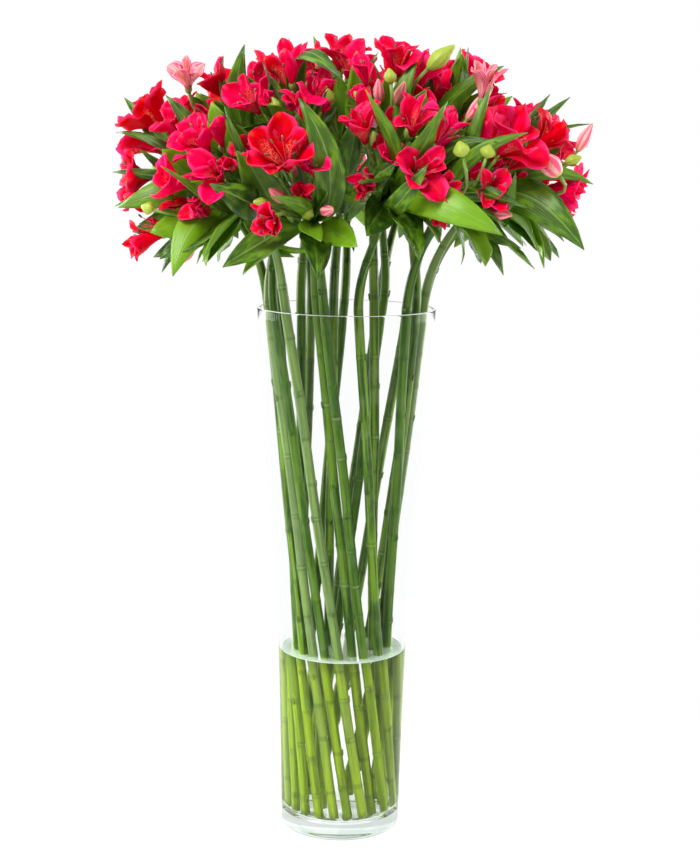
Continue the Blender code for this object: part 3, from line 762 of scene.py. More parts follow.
def applied(obj, name, kind, **settings):
    """Add a modifier with these settings and apply it."""
    make_active(obj)
    modifier = obj.modifiers.new(name, kind)
    for key, value in settings.items():
        setattr(modifier, key, value)
    bpy.ops.object.modifier_apply(modifier=modifier.name)


def joined(name, meshes):
    """One object at the origin from several meshes."""
    deselect_all()
    parts = []
    for mesh in meshes:
        part = bpy.data.objects.new(name, mesh)
        bpy.context.scene.collection.objects.link(part)
        part.select_set(True)
        parts.append(part)
    bpy.context.view_layer.objects.active = parts[0]
    if len(parts) > 1:
        bpy.ops.object.join()
    body = bpy.context.view_layer.objects.active
    body.name = name
    return body


def dress(piece, slot, materials, *nodes):
    """Give a finished piece its materials, its place on the frame and the nodes that it stands for."""
    piece.data.materials.clear()
    for material in materials:
        piece.data.materials.append(material)
    piece.data.shade_smooth()
    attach(piece, "root")
    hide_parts(*nodes)


def build_pieces(kind, part, slot, finishes, make, model, thickness=0.0):
    """One piece for each head: the meshes made for it, joined, thickened where thin, and dressed."""
    for head in BUNCH:
        meshes = make(head, model)
        if meshes:
            piece = joined(f"{kind}_{head['name']}", meshes)
            if thickness:
                applied(piece, "thickness", "SOLIDIFY", thickness=thickness, offset=0.0, material_offset=1)
            dress(piece, slot, finishes, f"{part}_{head['name']}")


def taken(obj):
    """The mesh of a model, whose object is then removed."""
    mesh = obj.data
    bpy.data.objects.remove(obj)
    return mesh


def copy_placed(mesh, matrix):
    """A copy of a modelled mesh at a place."""
    placed = mesh.copy()
    placed.transform(matrix)
    return placed


def set_points(mesh, points):
    mesh.vertices.foreach_set("co", np.ascontiguousarray(points, dtype=np.float32).ravel())
    mesh.update()


def boxed(points):
    """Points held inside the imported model's box."""
    return np.clip(points, np.array(CAD_BOX[0]) + BOX_MARGIN, np.array(CAD_BOX[1]) - BOX_MARGIN)


def get_points(mesh):
    points = np.empty(len(mesh.vertices) * 3, dtype=np.float32)
    mesh.vertices.foreach_get("co", points)
    return points.reshape(-1, 3)


def set_values(mesh, name, values):
    """Keep a number for each point of a mesh, which its materials read."""
    attribute = mesh.attributes.get(name) or mesh.attributes.new(name, "FLOAT", "POINT")
    attribute.data.foreach_set("value", np.broadcast_to(values, len(mesh.vertices)).astype(np.float32))


def weld():
    """Merge the doubles of the mesh in edit mode, turn its faces outwards and leave edit mode."""
    bpy.ops.mesh.select_all(action="SELECT")
    bpy.ops.mesh.remove_doubles(threshold=MERGE_DISTANCE)
    bpy.ops.mesh.normals_make_consistent(inside=False)
    bpy.ops.object.mode_set(mode="OBJECT")


def tube(path, radii, ring_detail):
    """A round tube with closed ends along a path; its map runs along it in U and round it in V."""
    curve = bpy.data.curves.new("tube", "CURVE")
    curve.dimensions = "3D"
    curve.bevel_depth = 1.0
    curve.bevel_resolution = ring_detail
    curve.use_fill_caps = True
    spline = curve.splines.new("POLY")
    spline.points.add(len(path) - 1)
    for point, place, radius in zip(spline.points, path, radii):
        point.co = (*place, 1.0)
        point.radius = radius
    obj = bpy.data.objects.new("tube", curve)
    bpy.context.scene.collection.objects.link(obj)
    make_active(obj)
    bpy.ops.object.convert(target="MESH")
    bpy.ops.object.mode_set(mode="EDIT")
    weld()
    return taken(bpy.context.object)


def sphere(segments, rings, radius=1.0):
    """The mesh of a round ball, to be shaped."""
    deselect_all()
    bpy.ops.mesh.primitive_uv_sphere_add(segments=segments, ring_count=rings, radius=radius)
    return taken(bpy.context.object)


def blade_grid(across, along):
    """A flat grid to bend into a petal or a leaf, and its places across (-1 to 1) and along (0 to 1)."""
    deselect_all()
    bpy.ops.mesh.primitive_grid_add(x_subdivisions=across, y_subdivisions=along, size=2.0)
    mesh = taken(bpy.context.object)
    flat = get_points(mesh)
    return mesh, flat[:, 0].copy(), (flat[:, 1] + 1.0) / 2.0


# Finishes

class Signal:
    """An output of a node. Arithmetic on it adds Math nodes to the same finish."""

    def __init__(self, finish, socket):
        self.finish = finish
        self.socket = socket

    def math(self, operation, *values):
        return self.finish.node("ShaderNodeMath", {"operation": operation}, dict(enumerate(values)))

    def sine(self):
        return self.math("SINE", self)

    def larger(self, other):
        return self.math("MAXIMUM", self, other)

    def __abs__(self):
        return self.math("ABSOLUTE", self)

    def __add__(self, other):
        return self.math("ADD", self, other)

    def __radd__(self, other):
        return self.math("ADD", other, self)

    def __sub__(self, other):
        return self.math("SUBTRACT", self, other)

    def __rsub__(self, other):
        return self.math("SUBTRACT", other, self)

    def __mul__(self, other):
        return self.math("MULTIPLY", self, other)

    def __rmul__(self, other):
        return self.math("MULTIPLY", other, self)

    def __pow__(self, other):
        return self.math("POWER", self, other)


class Finish:
    """A procedural material that ends in a Principled BSDF, with its fixed values given by socket name."""

    def __init__(self, name, **fixed):
        self.material = bpy.data.materials.new(name)
        self.material.use_nodes = True
        self.tree = self.material.node_tree
        self.shader = self.tree.nodes["Principled BSDF"]
        self.surface = self.tree.nodes["Material Output"].inputs["Surface"]
        for key, value in fixed.items():
            self.shader.inputs[key.replace("_", " ")].default_value = value

    def plug(self, socket, value):
        if isinstance(value, Signal):
            self.tree.links.new(value.socket, socket)
        else:
            socket.default_value = value

    def node(self, kind, settings, values, output=0):
        """Add a node: its settings first, then the values or links of its sockets."""
        node = self.tree.nodes.new(kind)
        for key, value in settings.items():
            setattr(node, key, value)
        for key, value in values.items():
            self.plug(node.inputs[key], value)
        return Signal(self, node.outputs[output])

    def mix(self, factor, first, second):
        return self.node("ShaderNodeMix", {"data_type": "RGBA"}, {0: factor, 6: first, 7: second}, 2)

    def layers(self, colour, *layers):
        """Lay colours over the first one, each by a factor of its own."""
        for factor, over in layers:
            colour = self.mix(factor, colour, over)
        return colour

    def step(self, value, start, end):
        """0 up to start, 1 from end on, and a smooth rise between them."""
        settings = {"interpolation_type": "SMOOTHSTEP"}
        return self.node("ShaderNodeMapRange", settings, {0: value, 1: start, 2: end, 3: 0.0, 4: 1.0})

    def fall(self, value, start, end):
        """1 up to start, 0 from end on, and a smooth fall between them."""
        return 1.0 - self.step(value, start, end)

    def place(self):
        """The place on the piece, in metres."""
        return self.node("ShaderNodeTexCoord", {}, {}, 3)

    def parts(self, vector):
        """The three numbers of a vector."""
        first = self.node("ShaderNodeSeparateXYZ", {}, {0: vector})
        return [Signal(self, output) for output in first.socket.node.outputs]

    def map_directions(self):
        """The two directions of the piece's own map."""
        return self.parts(self.node("ShaderNodeUVMap", {"uv_map": "UVMap"}, {}))[:2]

    def kept(self, name):
        """A number that the piece keeps for each point."""
        return self.node("ShaderNodeAttribute", {"attribute_name": name}, {}, 2)

    def vector(self, x, y, z):
        return self.node("ShaderNodeCombineXYZ", {}, {0: x, 1: y, 2: z})

    def noise(self, vector, scale, detail=2.0, distortion=0.0):
        values = {"Vector": vector, "Scale": scale, "Detail": detail, "Distortion": distortion}
        return self.node("ShaderNodeTexNoise", {}, values)

    def cells(self, vector, feature="F1"):
        return self.node("ShaderNodeTexVoronoi", {"feature": feature}, {"Vector": vector, "Scale": 1.0})

    def show(self, colour, roughness, *bump):
        """Plug in the colour, the roughness and any bump, by its height, strength and distance."""
        self.plug(self.shader.inputs["Base Color"], colour)
        self.plug(self.shader.inputs["Roughness"], roughness)
        if bump:
            values = dict(zip(("Height", "Strength", "Distance"), bump))
            self.plug(self.shader.inputs["Normal"], self.node("ShaderNodeBump", {}, values))

    def mix_in(self, factor, kind, **values):
        """Mix another kind of shader into the surface, and give the finished material."""
        own, other = Signal(self, self.shader.outputs[0]), self.node(kind, {}, values)
        mixed = self.node("ShaderNodeMixShader", {}, {0: factor, 1: own, 2: other})
        self.tree.links.new(mixed.socket, self.surface)
        return self.material

    def glow_through(self, colour, share):
        """Mix in light that comes through a thin leaf or petal."""
        return self.mix_in(share, "ShaderNodeBsdfTranslucent", Color=colour)

    def let_lamps_through(self):
        """Let the light of lamps pass straight through, so that glass and water cast no hard shade."""
        from_lamp = self.node("ShaderNodeLightPath", {}, {}, 1)
        return self.mix_in(from_lamp, "ShaderNodeBsdfTransparent", Color=opaque(0.97, 0.985, 0.975))


def opaque(red, green, blue):
    return red, green, blue, 1.0


def glass_finish(name, settings, bending):
    """Clear glass that lets lamps through, with faint ripples, a trace of green in its thick base, painted
    grey-green caustic patches there and a painted shade line along the bottom of the foot.
    """
    finish = Finish(name, Transmission_Weight=1.0, IOR=bending)
    place = finish.place()
    x, y, height = finish.parts(place)
    # Painted caustics: grey-green patches in the thick base that stand in for light bent and focused by the
    # glass
    painted_caustics = finish.noise(finish.vector(x, y, height * 3.0), 26.0, 2.0, 0.6)
    low = finish.fall(height, BASE_THICKNESS * 0.5, BASE_THICKNESS * 1.3)
    wall = finish.step(height, 0.0, BASE_THICKNESS * 1.6)
    glass = finish.layers(
        finish.mix(wall, settings.base_tint, settings.wall_tint),
        (finish.step(painted_caustics, 0.46, 0.60) * low * 0.5, settings.painted_caustic_and_edge_tint),
        # Painted shade: a grey line along the bottom of the foot
        (finish.fall(height, PAINTED_FOOT_SHADE * 0.25, PAINTED_FOOT_SHADE) * 0.4, settings.painted_caustic_and_edge_tint),
    )
    ripples = finish.noise(finish.vector(x, y, height * 0.2), 24.0, 1.0)
    finish.show(glass, finish.noise(place, 90.0) * 0.012, ripples, 0.03, 0.002)
    return finish.let_lamps_through()


def water_finish(settings):
    """Clean water with the faintest green."""
    finish = Finish("vase_water", Transmission_Weight=1.0, IOR=WATER_IOR)
    place = finish.place()
    tint = finish.mix(finish.noise(place, 30.0, 1.0), settings.water_tint, opaque(1.0, 1.0, 1.0))
    finish.show(tint, 0.0, finish.noise(place, 60.0, 1.0), 0.02, 0.002)
    return finish.let_lamps_through()


def water_top_reflection_finish(settings):
    """The water's surface, a painted reflection: a pale sheet, clearer in the middle and denser at the glass.
    """
    finish = Finish("painted_water_reflection", Specular_IOR_Level=0.5)
    place = finish.place()
    x, y, _ = finish.parts(place)
    cloud = finish.noise(place, 50.0, 1.0)
    # Painted reflection: the surround's light on the water's surface is painted as a pale cool colour
    finish.show(finish.mix(cloud, settings.surface_reflection_tint, opaque(0.80, 0.88, 0.79)), 0.04 + cloud * 0.04)
    # The painted reflection is denser where the water climbs the glass
    rim = finish.step((x * x + y * y) ** 0.5, *SHEEN_RADII)
    finish.plug(finish.shader.inputs["Alpha"], 0.34 + rim * 0.16)
    return finish.material


def lip_highlight_finish(settings):
    """The fire-polished lip, drawn as an opaque pale band: a painted highlight for the line of light along the
    rim.
    """
    finish = Finish("glass_lip_painted_highlight", Specular_IOR_Level=0.4)
    cloud = finish.noise(finish.place(), 80.0, 1.0)
    finish.show(finish.mix(cloud, settings.lip_highlight_tint, opaque(0.97, 0.98, 0.98)), 0.08 + cloud * 0.06)
    return finish.let_lamps_through()


def stalk_finish(settings):
    """Green stalk skin: fine streaks, pale rings at the leaf scars, and yellower under water."""
    finish = Finish("stalk_skin", Specular_IOR_Level=0.2, Sheen_Weight=0.12, Sheen_Roughness=0.2)
    along, around = finish.map_directions()
    place = finish.place()
    tone, scar = finish.kept("tone"), finish.kept("scar")
    streaks = finish.noise(finish.vector(along * 8.0, around * 7.0, tone * 9.0), 1.0)
    fine = finish.noise(finish.vector(along * 26.0, around * 24.0, tone * 5.0), 1.0)
    mottle = finish.noise(place, 70.0, 3.0)
    wet = finish.fall(finish.parts(place)[2], WATER_LEVEL + WET_EDGE[0], WATER_LEVEL + WET_EDGE[1])
    shade = finish.step(scar, 0.08, 0.30) * finish.fall(scar, 0.45, 0.75)
    ring = finish.step(scar, 0.35, 0.90) * (0.08 + finish.step(mottle, 0.4, 0.65) * 0.42)
    green = finish.layers(
        finish.mix(finish.step(streaks, 0.40, 0.60), settings.stalk_dark, settings.stalk_light),
        (finish.step(fine, 0.50, 0.72) * 0.35, settings.stalk_bright),
        (finish.step(mottle, 0.45, 0.75) * 0.35, settings.stalk_bright),
        (finish.step(tone, 0.55, 0.9) * 0.55, settings.stalk_bright),
        (finish.fall(tone, 0.15, 0.45) * 0.55, settings.stalk_grey),
        (wet * (0.40 + finish.step(streaks, 0.35, 0.65) * 0.5), settings.stalk_wet),
        (shade * 0.35, settings.stalk_dark),
        (ring, settings.scar_colour),
    )
    finish.show(green, 0.30 + streaks * 0.20, streaks + scar * 0.5, 0.25, 0.0006)
    return finish.glow_through(opaque(0.20, 0.42, 0.03), 0.06)


def leaf_finish(name, settings, dark, light, vein_colour, gloss):
    """A leaf face: parallel veins that run from its root to its tip, a pale midrib and cloudy green."""
    finish = Finish(name, Specular_IOR_Level=0.38)
    across, along = finish.map_directions()
    tone = finish.kept("tone")
    side = across - 0.5
    spread = 0.30 + 0.70 * along * (1.0 - along) * 4.0
    veins = finish.step((side * 95.0 * spread + tone * 40.0).sine(), 0.55, 1.0)
    midrib = finish.fall(abs(side), 0.008, 0.045)
    cloud = finish.noise(finish.vector(across * 2.0, along * 4.0, tone * 17.0), 2.2, 4.0)
    fine = finish.noise(finish.vector(across * 60.0, along * 9.0, tone * 5.0), 1.0)
    green = finish.layers(
        finish.mix(finish.step(cloud, 0.40, 0.72), dark, light),
        (finish.step(tone, 0.05, 1.0) * 0.75, settings.leaf_fresh),
        (veins * 0.30 + finish.step(fine, 0.5, 0.8) * 0.18, vein_colour),
        (midrib * 0.5, vein_colour),
    )
    finish.show(green, gloss + cloud * 0.15, veins * 0.6 + midrib + fine * 0.4, 0.35, 0.0007)
    return finish.glow_through(settings.leaf_glow, 0.22)


def petal_finish(name, settings, deep, bright, inside):
    """A satin crimson petal face with fine veins, a painted pale highlight near its edge and painted shade
    at its root; the inside has a pale net, gold and dark flecks too.
    """
    finish = Finish(name, Specular_IOR_Level=0.04)
    across, along = finish.map_directions()
    tone, flecked, pale = finish.kept("tone"), finish.kept("flecked"), finish.kept("pale")
    side = abs(across - 0.5)
    cloud = finish.noise(finish.vector(across * 1.6, along * 2.2, tone * 23.0), 2.0, 3.0)
    veins = finish.noise(finish.vector(across * 17.0, along * 1.6, tone * 11.0), 1.0, 3.0)
    midrib = finish.fall(side, 0.01, 0.07)
    # Painted highlight: paler pink towards the edge of the blade's outer half
    rim = finish.step(side + cloud * 0.25, 0.42, 0.60) * finish.step(along, 0.45, 0.95)
    tip = finish.step(along + cloud * 0.1 - side * 0.4, 0.93, 1.02)
    red = finish.layers(
        finish.mix(finish.step(cloud * 0.6 + tone * 0.4, 0.25, 0.72), deep, bright),
        (finish.step(veins, 0.50, 0.70) * 0.5, settings.petal_vein),
        (midrib * 0.35 * (1.0 - along), settings.petal_vein),
        (rim * 0.28, settings.petal_edge_highlight),
        (tip * 0.30, settings.petal_tip),
        (pale * (0.25 + finish.fall(veins, 0.40, 0.58) * 0.65), settings.petal_pale),
        (pale * midrib * 0.7, settings.bud_yellow),
    )
    if inside:
        net_place = finish.vector(across * 9.0, along * 14.0, tone * 31.0)
        net = finish.fall(finish.cells(net_place, "DISTANCE_TO_EDGE"), 0.02, 0.10)
        gold = finish.step(along, 0.12, 0.34) * finish.fall(along + side * 0.5, 0.62, 0.86)
        dashes = finish.cells(finish.vector(across * 15.0, along * 7.0, tone * 13.0))
        dark = finish.fall(dashes, 0.18, 0.34) * finish.step(along, 0.10, 0.24)
        dark = dark * finish.fall(along + side * 0.3, 0.80, 0.98)
        red = finish.layers(
            red,
            (gold * flecked * (0.04 + net * 0.55), settings.petal_gold),
            (dark * flecked * 0.85, settings.petal_fleck),
        )
    # Painted shade: each petal darkens at its root, where the petals meet in the flower's throat
    red = finish.mix(finish.fall(along, 0.04, 0.36) * 0.75, red, settings.petal_root_shade)
    finish.show(red, 0.34 + cloud * 0.16, veins + midrib * 0.6, 0.30, 0.0006)
    return finish.glow_through(settings.petal_glow, 0.24)


def bud_finish(settings):
    """A bud: green at its root and tip, and pink stripes between its paler ridges."""
    finish = Finish("bud_skin", Specular_IOR_Level=0.45)
    around, along = finish.map_directions()
    ripe = finish.kept("ripe")
    stripes = (around * 37.7).sine()
    cloud = finish.noise(finish.vector(around * 12.0, along * 3.0, ripe * 7.0), 1.5, 3.0)
    pink = finish.mix(finish.step(stripes + cloud, 0.0, 1.2), settings.bud_pink, settings.bud_stripe)
    green = finish.mix(cloud, settings.bud_green, settings.bud_yellow)
    ends = finish.fall(along + cloud * 0.2, 0.18, 0.42) + finish.step(along, 0.86, 0.97)
    blush = finish.step(ripe + cloud * 0.3, 0.3, 0.7) * (1.0 - ends * 0.8)
    finish.show(finish.mix(blush, green, pink), 0.40 + cloud * 0.1, stripes + cloud * 0.5, 0.2, 0.0004)
    return finish.glow_through(opaque(0.75, 0.35, 0.12), 0.12)


def short_stalk_finish(settings):
    """The flowers' short stalks and their ribbed green bases, with a red blush."""
    finish = Finish("short_stalk_skin", Specular_IOR_Level=0.45)
    place = finish.place()
    cloud = finish.noise(place, 120.0, 3.0)
    blush = finish.step(finish.noise(place, 30.0, 1.0), 0.52, 0.72) * 0.4
    green = finish.mix(cloud, settings.short_stalk_dark, settings.short_stalk_light)
    green = finish.mix(blush, green, settings.short_stalk_blush)
    finish.show(green, 0.42 + cloud * 0.15, cloud, 0.2, 0.0004)
    return finish.glow_through(opaque(0.30, 0.45, 0.05), 0.10)


def stamen_finish(settings):
    """Pink filaments that end in dusty olive anthers, told apart by a number kept on the points."""
    finish = Finish("stamen_skin", Specular_IOR_Level=0.4)
    dust = finish.noise(finish.place(), 900.0)
    anther = finish.kept("anther")
    filament = finish.mix(dust, settings.filament_dark, settings.filament_light)
    pollen = finish.mix(finish.step(dust, 0.4, 0.7), settings.anther_dark, settings.anther_light)
    finish.show(finish.mix(anther, filament, pollen), 0.45 + anther * 0.35, dust, 0.3, 0.0002)
    return finish.material


# The vase and the water

def wall_radius(height):
    """Outer radius of the glass: a slight taper that runs smoothly into the flare."""
    rise = (height - FLARE_START) / FLARE_BLEND
    flare = FLARE_BLEND * math.log1p(math.exp(rise))
    return FOOT_RADIUS + BODY_TAPER * height + FLARE_SLOPE * flare


def arc(centre, radius, start, end, steps):
    """Points of (radius, height) round a centre, between two angles in degrees."""
    angles = [math.radians(angle) for angle in spaced(start, end, steps)]
    return [(centre[0] + radius * math.cos(angle), centre[1] + radius * math.sin(angle)) for angle in angles]


def turned(name, profile, sides):
    """Extrude one point along a profile of (radius, height) points, spin it and weld its poles and seam."""
    deselect_all()
    bpy.ops.mesh.primitive_plane_add(size=1.0)
    obj = bpy.context.object
    obj.name = name
    bpy.ops.object.mode_set(mode="EDIT")
    bpy.ops.mesh.merge(type="CENTER")
    start = profile[0]
    bpy.ops.transform.translate(value=(start[0], 0.0, start[1]))
    for (radius, height), (next_radius, next_height) in zip(profile, profile[1:]):
        move = (next_radius - radius, 0.0, next_height - height)
        bpy.ops.mesh.extrude_region_move(TRANSFORM_OT_translate={"value": move})
    bpy.ops.mesh.select_all(action="SELECT")
    bpy.ops.mesh.spin(steps=sides, angle=2 * math.pi, center=(0.0, 0.0, 0.0), axis=(0.0, 0.0, 1.0))
    weld()
    return obj


def inner_corner():
    """The middle of the rounding between the inner wall and the floor."""
    well = BASE_THICKNESS + INNER_HEEL
    return wall_radius(well) - GLASS_WALL - INNER_HEEL, well


def vase_profile():
    """The glass, from the hollow under its foot, up its side, over the lip and down to its inner floor."""
    lip = GLASS_WALL / 2
    top = VASE_HEIGHT - lip
    heel = (wall_radius(HEEL_ROUNDING) - HEEL_ROUNDING, HEEL_ROUNDING)
    under = [(0.0, UNDERSIDE_HOLLOW), (heel[0] - HOLLOW_EDGES[0], UNDERSIDE_HOLLOW),
             (heel[0] - HOLLOW_EDGES[1], 0.0)]
    outer = [(wall_radius(z), z) for z in spaced(HEEL_ROUNDING, top, WALL_RINGS)]
    over = arc((wall_radius(top) - lip, top), lip, 0.0, 180.0, 8)
    corner = inner_corner()
    inner = [(wall_radius(z) - GLASS_WALL, z) for z in spaced(top, corner[1], WALL_RINGS)]
    floor = arc(corner, INNER_HEEL, 0.0, -90.0, 5)
    side = arc(heel, HEEL_ROUNDING, -90.0, 0.0, 8) + outer[1:] + over[1:] + inner[1:] + floor[1:]
    return under + side + [(0.0, BASE_THICKNESS)]


def water_profile():
    """The water, which touches the glass all round and climbs it a little at its surface."""
    touch = GLASS_WALL - WATER_TOUCH
    corner = inner_corner()
    heel = arc(corner, INNER_HEEL + WATER_TOUCH, -90.0, 0.0, 5)
    side = [(wall_radius(z) - touch, z) for z in spaced(corner[1], WATER_LEVEL - MENISCUS, WATER_RINGS)]
    edge = wall_radius(WATER_LEVEL) - touch
    climb = [(edge - MENISCUS * share, WATER_LEVEL - MENISCUS * (1.0 - (1.0 - share) ** 2) * MENISCUS_DEPTH)
             for share in spaced(0.0, 1.0, 6)]
    floor = (0.0, BASE_THICKNESS - WATER_TOUCH)
    middle = (0.0, WATER_LEVEL - MENISCUS * MENISCUS_DEPTH)
    return [floor] + heel + side[1:] + climb + [middle]


# Stalks

def stalk_centre(head):
    """Places along a stalk, closer at the leaf scars, its radii, how near a scar each is, and the scars."""
    chance = chance_for(head, "stalk")
    foot, rim = head["path"][:2]
    bend, end = neck_curve(foot, rim, head)
    straight = (rim - foot).length
    marks = [bezier(*bend, share) for share in spaced(0.0, 1.0, 24)]
    bend_length = sum((second - first).length for first, second in zip(marks, marks[1:]))
    total = straight + bend_length + COLLAR_LENGTH

    def at(distance):
        if distance <= straight:
            return foot.lerp(rim, distance / straight)
        if distance <= straight + bend_length:
            return bezier(*bend, (distance - straight) / bend_length)
        return bend[3].lerp(end, (distance - straight - bend_length) / COLLAR_LENGTH)

    scars = []
    spot = chance.uniform(*FIRST_SCAR)
    while spot < total - LAST_SCAR:
        scars.append(spot)
        spot += chance.uniform(*SCAR_SPACING)
    strengths = [chance.uniform(*SCAR_STRENGTH) for _ in scars]
    distances = {round(share * total, 5) for share in spaced(0.0, 1.0, STALK_RINGS)}
    for scar in scars:
        distances = {distance for distance in distances if abs(distance - scar) > SCAR_REACH}
        distances |= {round(scar + offset * SCAR_REACH, 5) for offset in SCAR_RINGS}
    sway = chance.uniform(0.0, 6.28), chance.uniform(0.0, 6.28)
    places, radii, nearness = [], [], []
    for distance in sorted(distance for distance in distances if 0.0 <= distance <= total):
        share = distance / total
        swing = STALK_SWAY * math.sin(math.pi * min(1.0, share * 8.0) / 2)
        swing *= 1.0 - smooth_step(share, 0.82, 0.97)
        drift = math.sin(distance * 31.0 + sway[0]), math.sin(distance * 27.0 + sway[1]), 0.0
        near = max(strength * math.exp(-((distance - scar) / (SCAR_REACH * 0.45)) ** 2)
                   for scar, strength in zip(scars, strengths))
        slim = smooth_step(distance, straight, total - 0.02)
        radius = STALK_RADIUS * 1.03 + (NECK_RADIUS - STALK_RADIUS * 1.03) * slim
        places.append(at(distance) + Vector(drift) * swing)
        radii.append(radius * (1.0 + SCAR_SWELL * near))
        nearness.append(near)
    return places, radii, nearness, [at(scar) for scar in scars]


def scar_scale():
    """The dry scale of a fallen leaf: a flattened sphere whose upper end is drawn out to a point."""
    deselect_all()
    bpy.ops.mesh.primitive_uv_sphere_add(segments=8, ring_count=6, radius=1.0)
    bpy.ops.object.mode_set(mode="EDIT")
    bpy.ops.transform.resize(value=SCALE_SIZE)
    bpy.ops.object.mode_set(mode="OBJECT")
    mesh = taken(bpy.context.object)
    points = get_points(mesh)
    rise = np.clip(points[:, 2] / SCALE_SIZE[2], 0.0, 1.0)
    points[:, 0] *= 1.0 - 0.65 * rise
    points[:, 1] += SCALE_SIZE[1] * rise ** 2
    set_points(mesh, points)
    return mesh


def build_stalk(head, scale):
    """A stalk with its swellings and a dry scale at each leaf scar, each some way round from the last."""
    chance = chance_for(head, "scars")
    places, radii, nearness, scars = stalk_centre(head)
    skin = tube(places, radii, STALK_DETAIL)
    centres = np.array(places)
    nearest = [int(np.argmin(np.linalg.norm(centres - point, axis=1))) for point in get_points(skin)]
    set_values(skin, "scar", np.array(nearness)[nearest])
    meshes = [skin]
    turn = chance.uniform(0.0, 2 * math.pi)
    for number, scar in enumerate(scars):
        step = int(np.argmin(np.linalg.norm(centres - np.array(scar), axis=1)))
        way = (places[min(step + 1, len(places) - 1)] - places[max(step - 1, 0)]).normalized()
        outward = turned_to(*side_frame(way), turn + number * math.radians(LEAF_TURN))
        spin = Matrix((outward.cross(way), outward, way)).transposed().to_4x4()
        size = Matrix.Scale(radii[step] / STALK_RADIUS, 4)
        place = Matrix.Translation(places[step] + outward * radii[step] * SCALE_SEAT)
        placed = copy_placed(scale, place @ spin @ size)
        set_values(placed, "scar", SCALE_DRYNESS)
        meshes.append(placed)
    tone = chance.random()
    for mesh in meshes:
        set_values(mesh, "tone", tone)
    return meshes


# Leaves

def frames_along(line, side):
    """Side directions and upper directions along a line, from one side direction."""
    tangents = np.gradient(line, axis=0)
    tangents /= np.linalg.norm(tangents, axis=1)[:, None]
    sides = side - tangents * (tangents @ side)[:, None]
    sides /= np.linalg.norm(sides, axis=1)[:, None]
    return sides, np.cross(tangents, sides)


def rolled(sides, tops, angles):
    """The side and upper directions turned about the line by an angle at each place."""
    cosines, sines = np.cos(angles)[:, None], np.sin(angles)[:, None]
    return sides * cosines + tops * sines, tops * cosines - sides * sines


def bent(grid, line, sides, tops, half, lifted):
    """The points of a flat grid bent along a line, as broad and as lifted at each place as these say."""
    row = np.rint(grid[2] * (len(line) - 1)).astype(int)
    half = half[row]
    return line[row] + sides[row] * (half * grid[1])[:, None] + tops[row] * (half * lifted)[:, None]


def through_points(points, share):
    """A smooth line that passes its second and third points a third and two thirds along."""
    first, second, third, last = [np.array(point) for point in points]
    pull = (-5 * first + 18 * second - 9 * third + 2 * last) / 6
    other = (2 * first - 9 * second + 18 * third - 5 * last) / 6
    return bezier(first, pull, other, last, share[:, None])


def build_leaf(grid, leaf, chance):
    """One leaf on its planned line: a root that turns over, a broad blade and a tip that curls."""
    mesh, across, along = grid
    share = np.linspace(0.0, 1.0, LEAF_ROWS + 1)
    line = through_points(leaf["points"], share)
    line[:, 2] -= LEAF_SAG * chance.uniform(0.4, 1.3) * share ** 3
    length = (leaf["points"][3] - leaf["points"][0]).length
    free = 1.0 if "fresh" not in leaf else SEEN_FREEDOM
    sweep = chance.uniform(-LEAF_SWEEP, LEAF_SWEEP) * free
    side = np.array(leaf["side"])
    line += side * (sweep * length * share ** 2)[:, None]
    sides, tops = frames_along(line, side)
    turn = chance.choice((-1.0, 1.0)) * math.radians(LEAF_ROOT_TURN) * (1.0 - smooth_step(share, 0.02, 0.26))
    lean = math.radians(chance.uniform(-LEAF_TWIST, LEAF_TWIST)) * free * share ** 0.8
    sides, tops = rolled(sides, tops, turn + lean)
    line += tops * (chance.uniform(*LEAF_BOW) * np.sin(math.pi * share * 2.0))[:, None]
    swell = (share ** 0.95) * (1.0 - share) ** 0.92
    outline = np.maximum(swell / swell.max(), LEAF_ROOT_SHARE * (1.0 - smooth_step(share, 0.30, 0.5)))
    outline[-1] = LEAF_TIP_SHARE
    half_width = leaf["width"] / 2 * chance.uniform(*LEAF_FULLNESS) * outline
    line += tops * (chance.uniform(*LEAF_CURL) * free * length * smooth_step(share, 0.55, 1.0))[:, None]
    fold, ripple, ripples = (chance.uniform(*reach) for reach in (LEAF_FOLD, LEAF_RIPPLE, LEAF_RIPPLES))
    waves = chance.uniform(0, 6.28), chance.uniform(0, 6.28)
    edge = np.abs(across)
    wave = np.sin(2 * math.pi * ripples * along + np.where(across > 0, *waves))
    copy = mesh.copy()
    lifted = fold * edge ** 1.4 + ripple * edge ** 2 * wave
    set_points(copy, boxed(bent(grid, line, sides, tops, half_width, lifted)))
    tone = chance.random() ** 1.3
    set_values(copy, "tone", leaf.get("fresh", tone))
    return copy


def leaf_blades(head, grid):
    """The meshes of a head's leaves."""
    chance = chance_for(head, "blades")
    return [build_leaf(grid, leaf, chance) for leaf in head["leaf_list"]]


# Petals

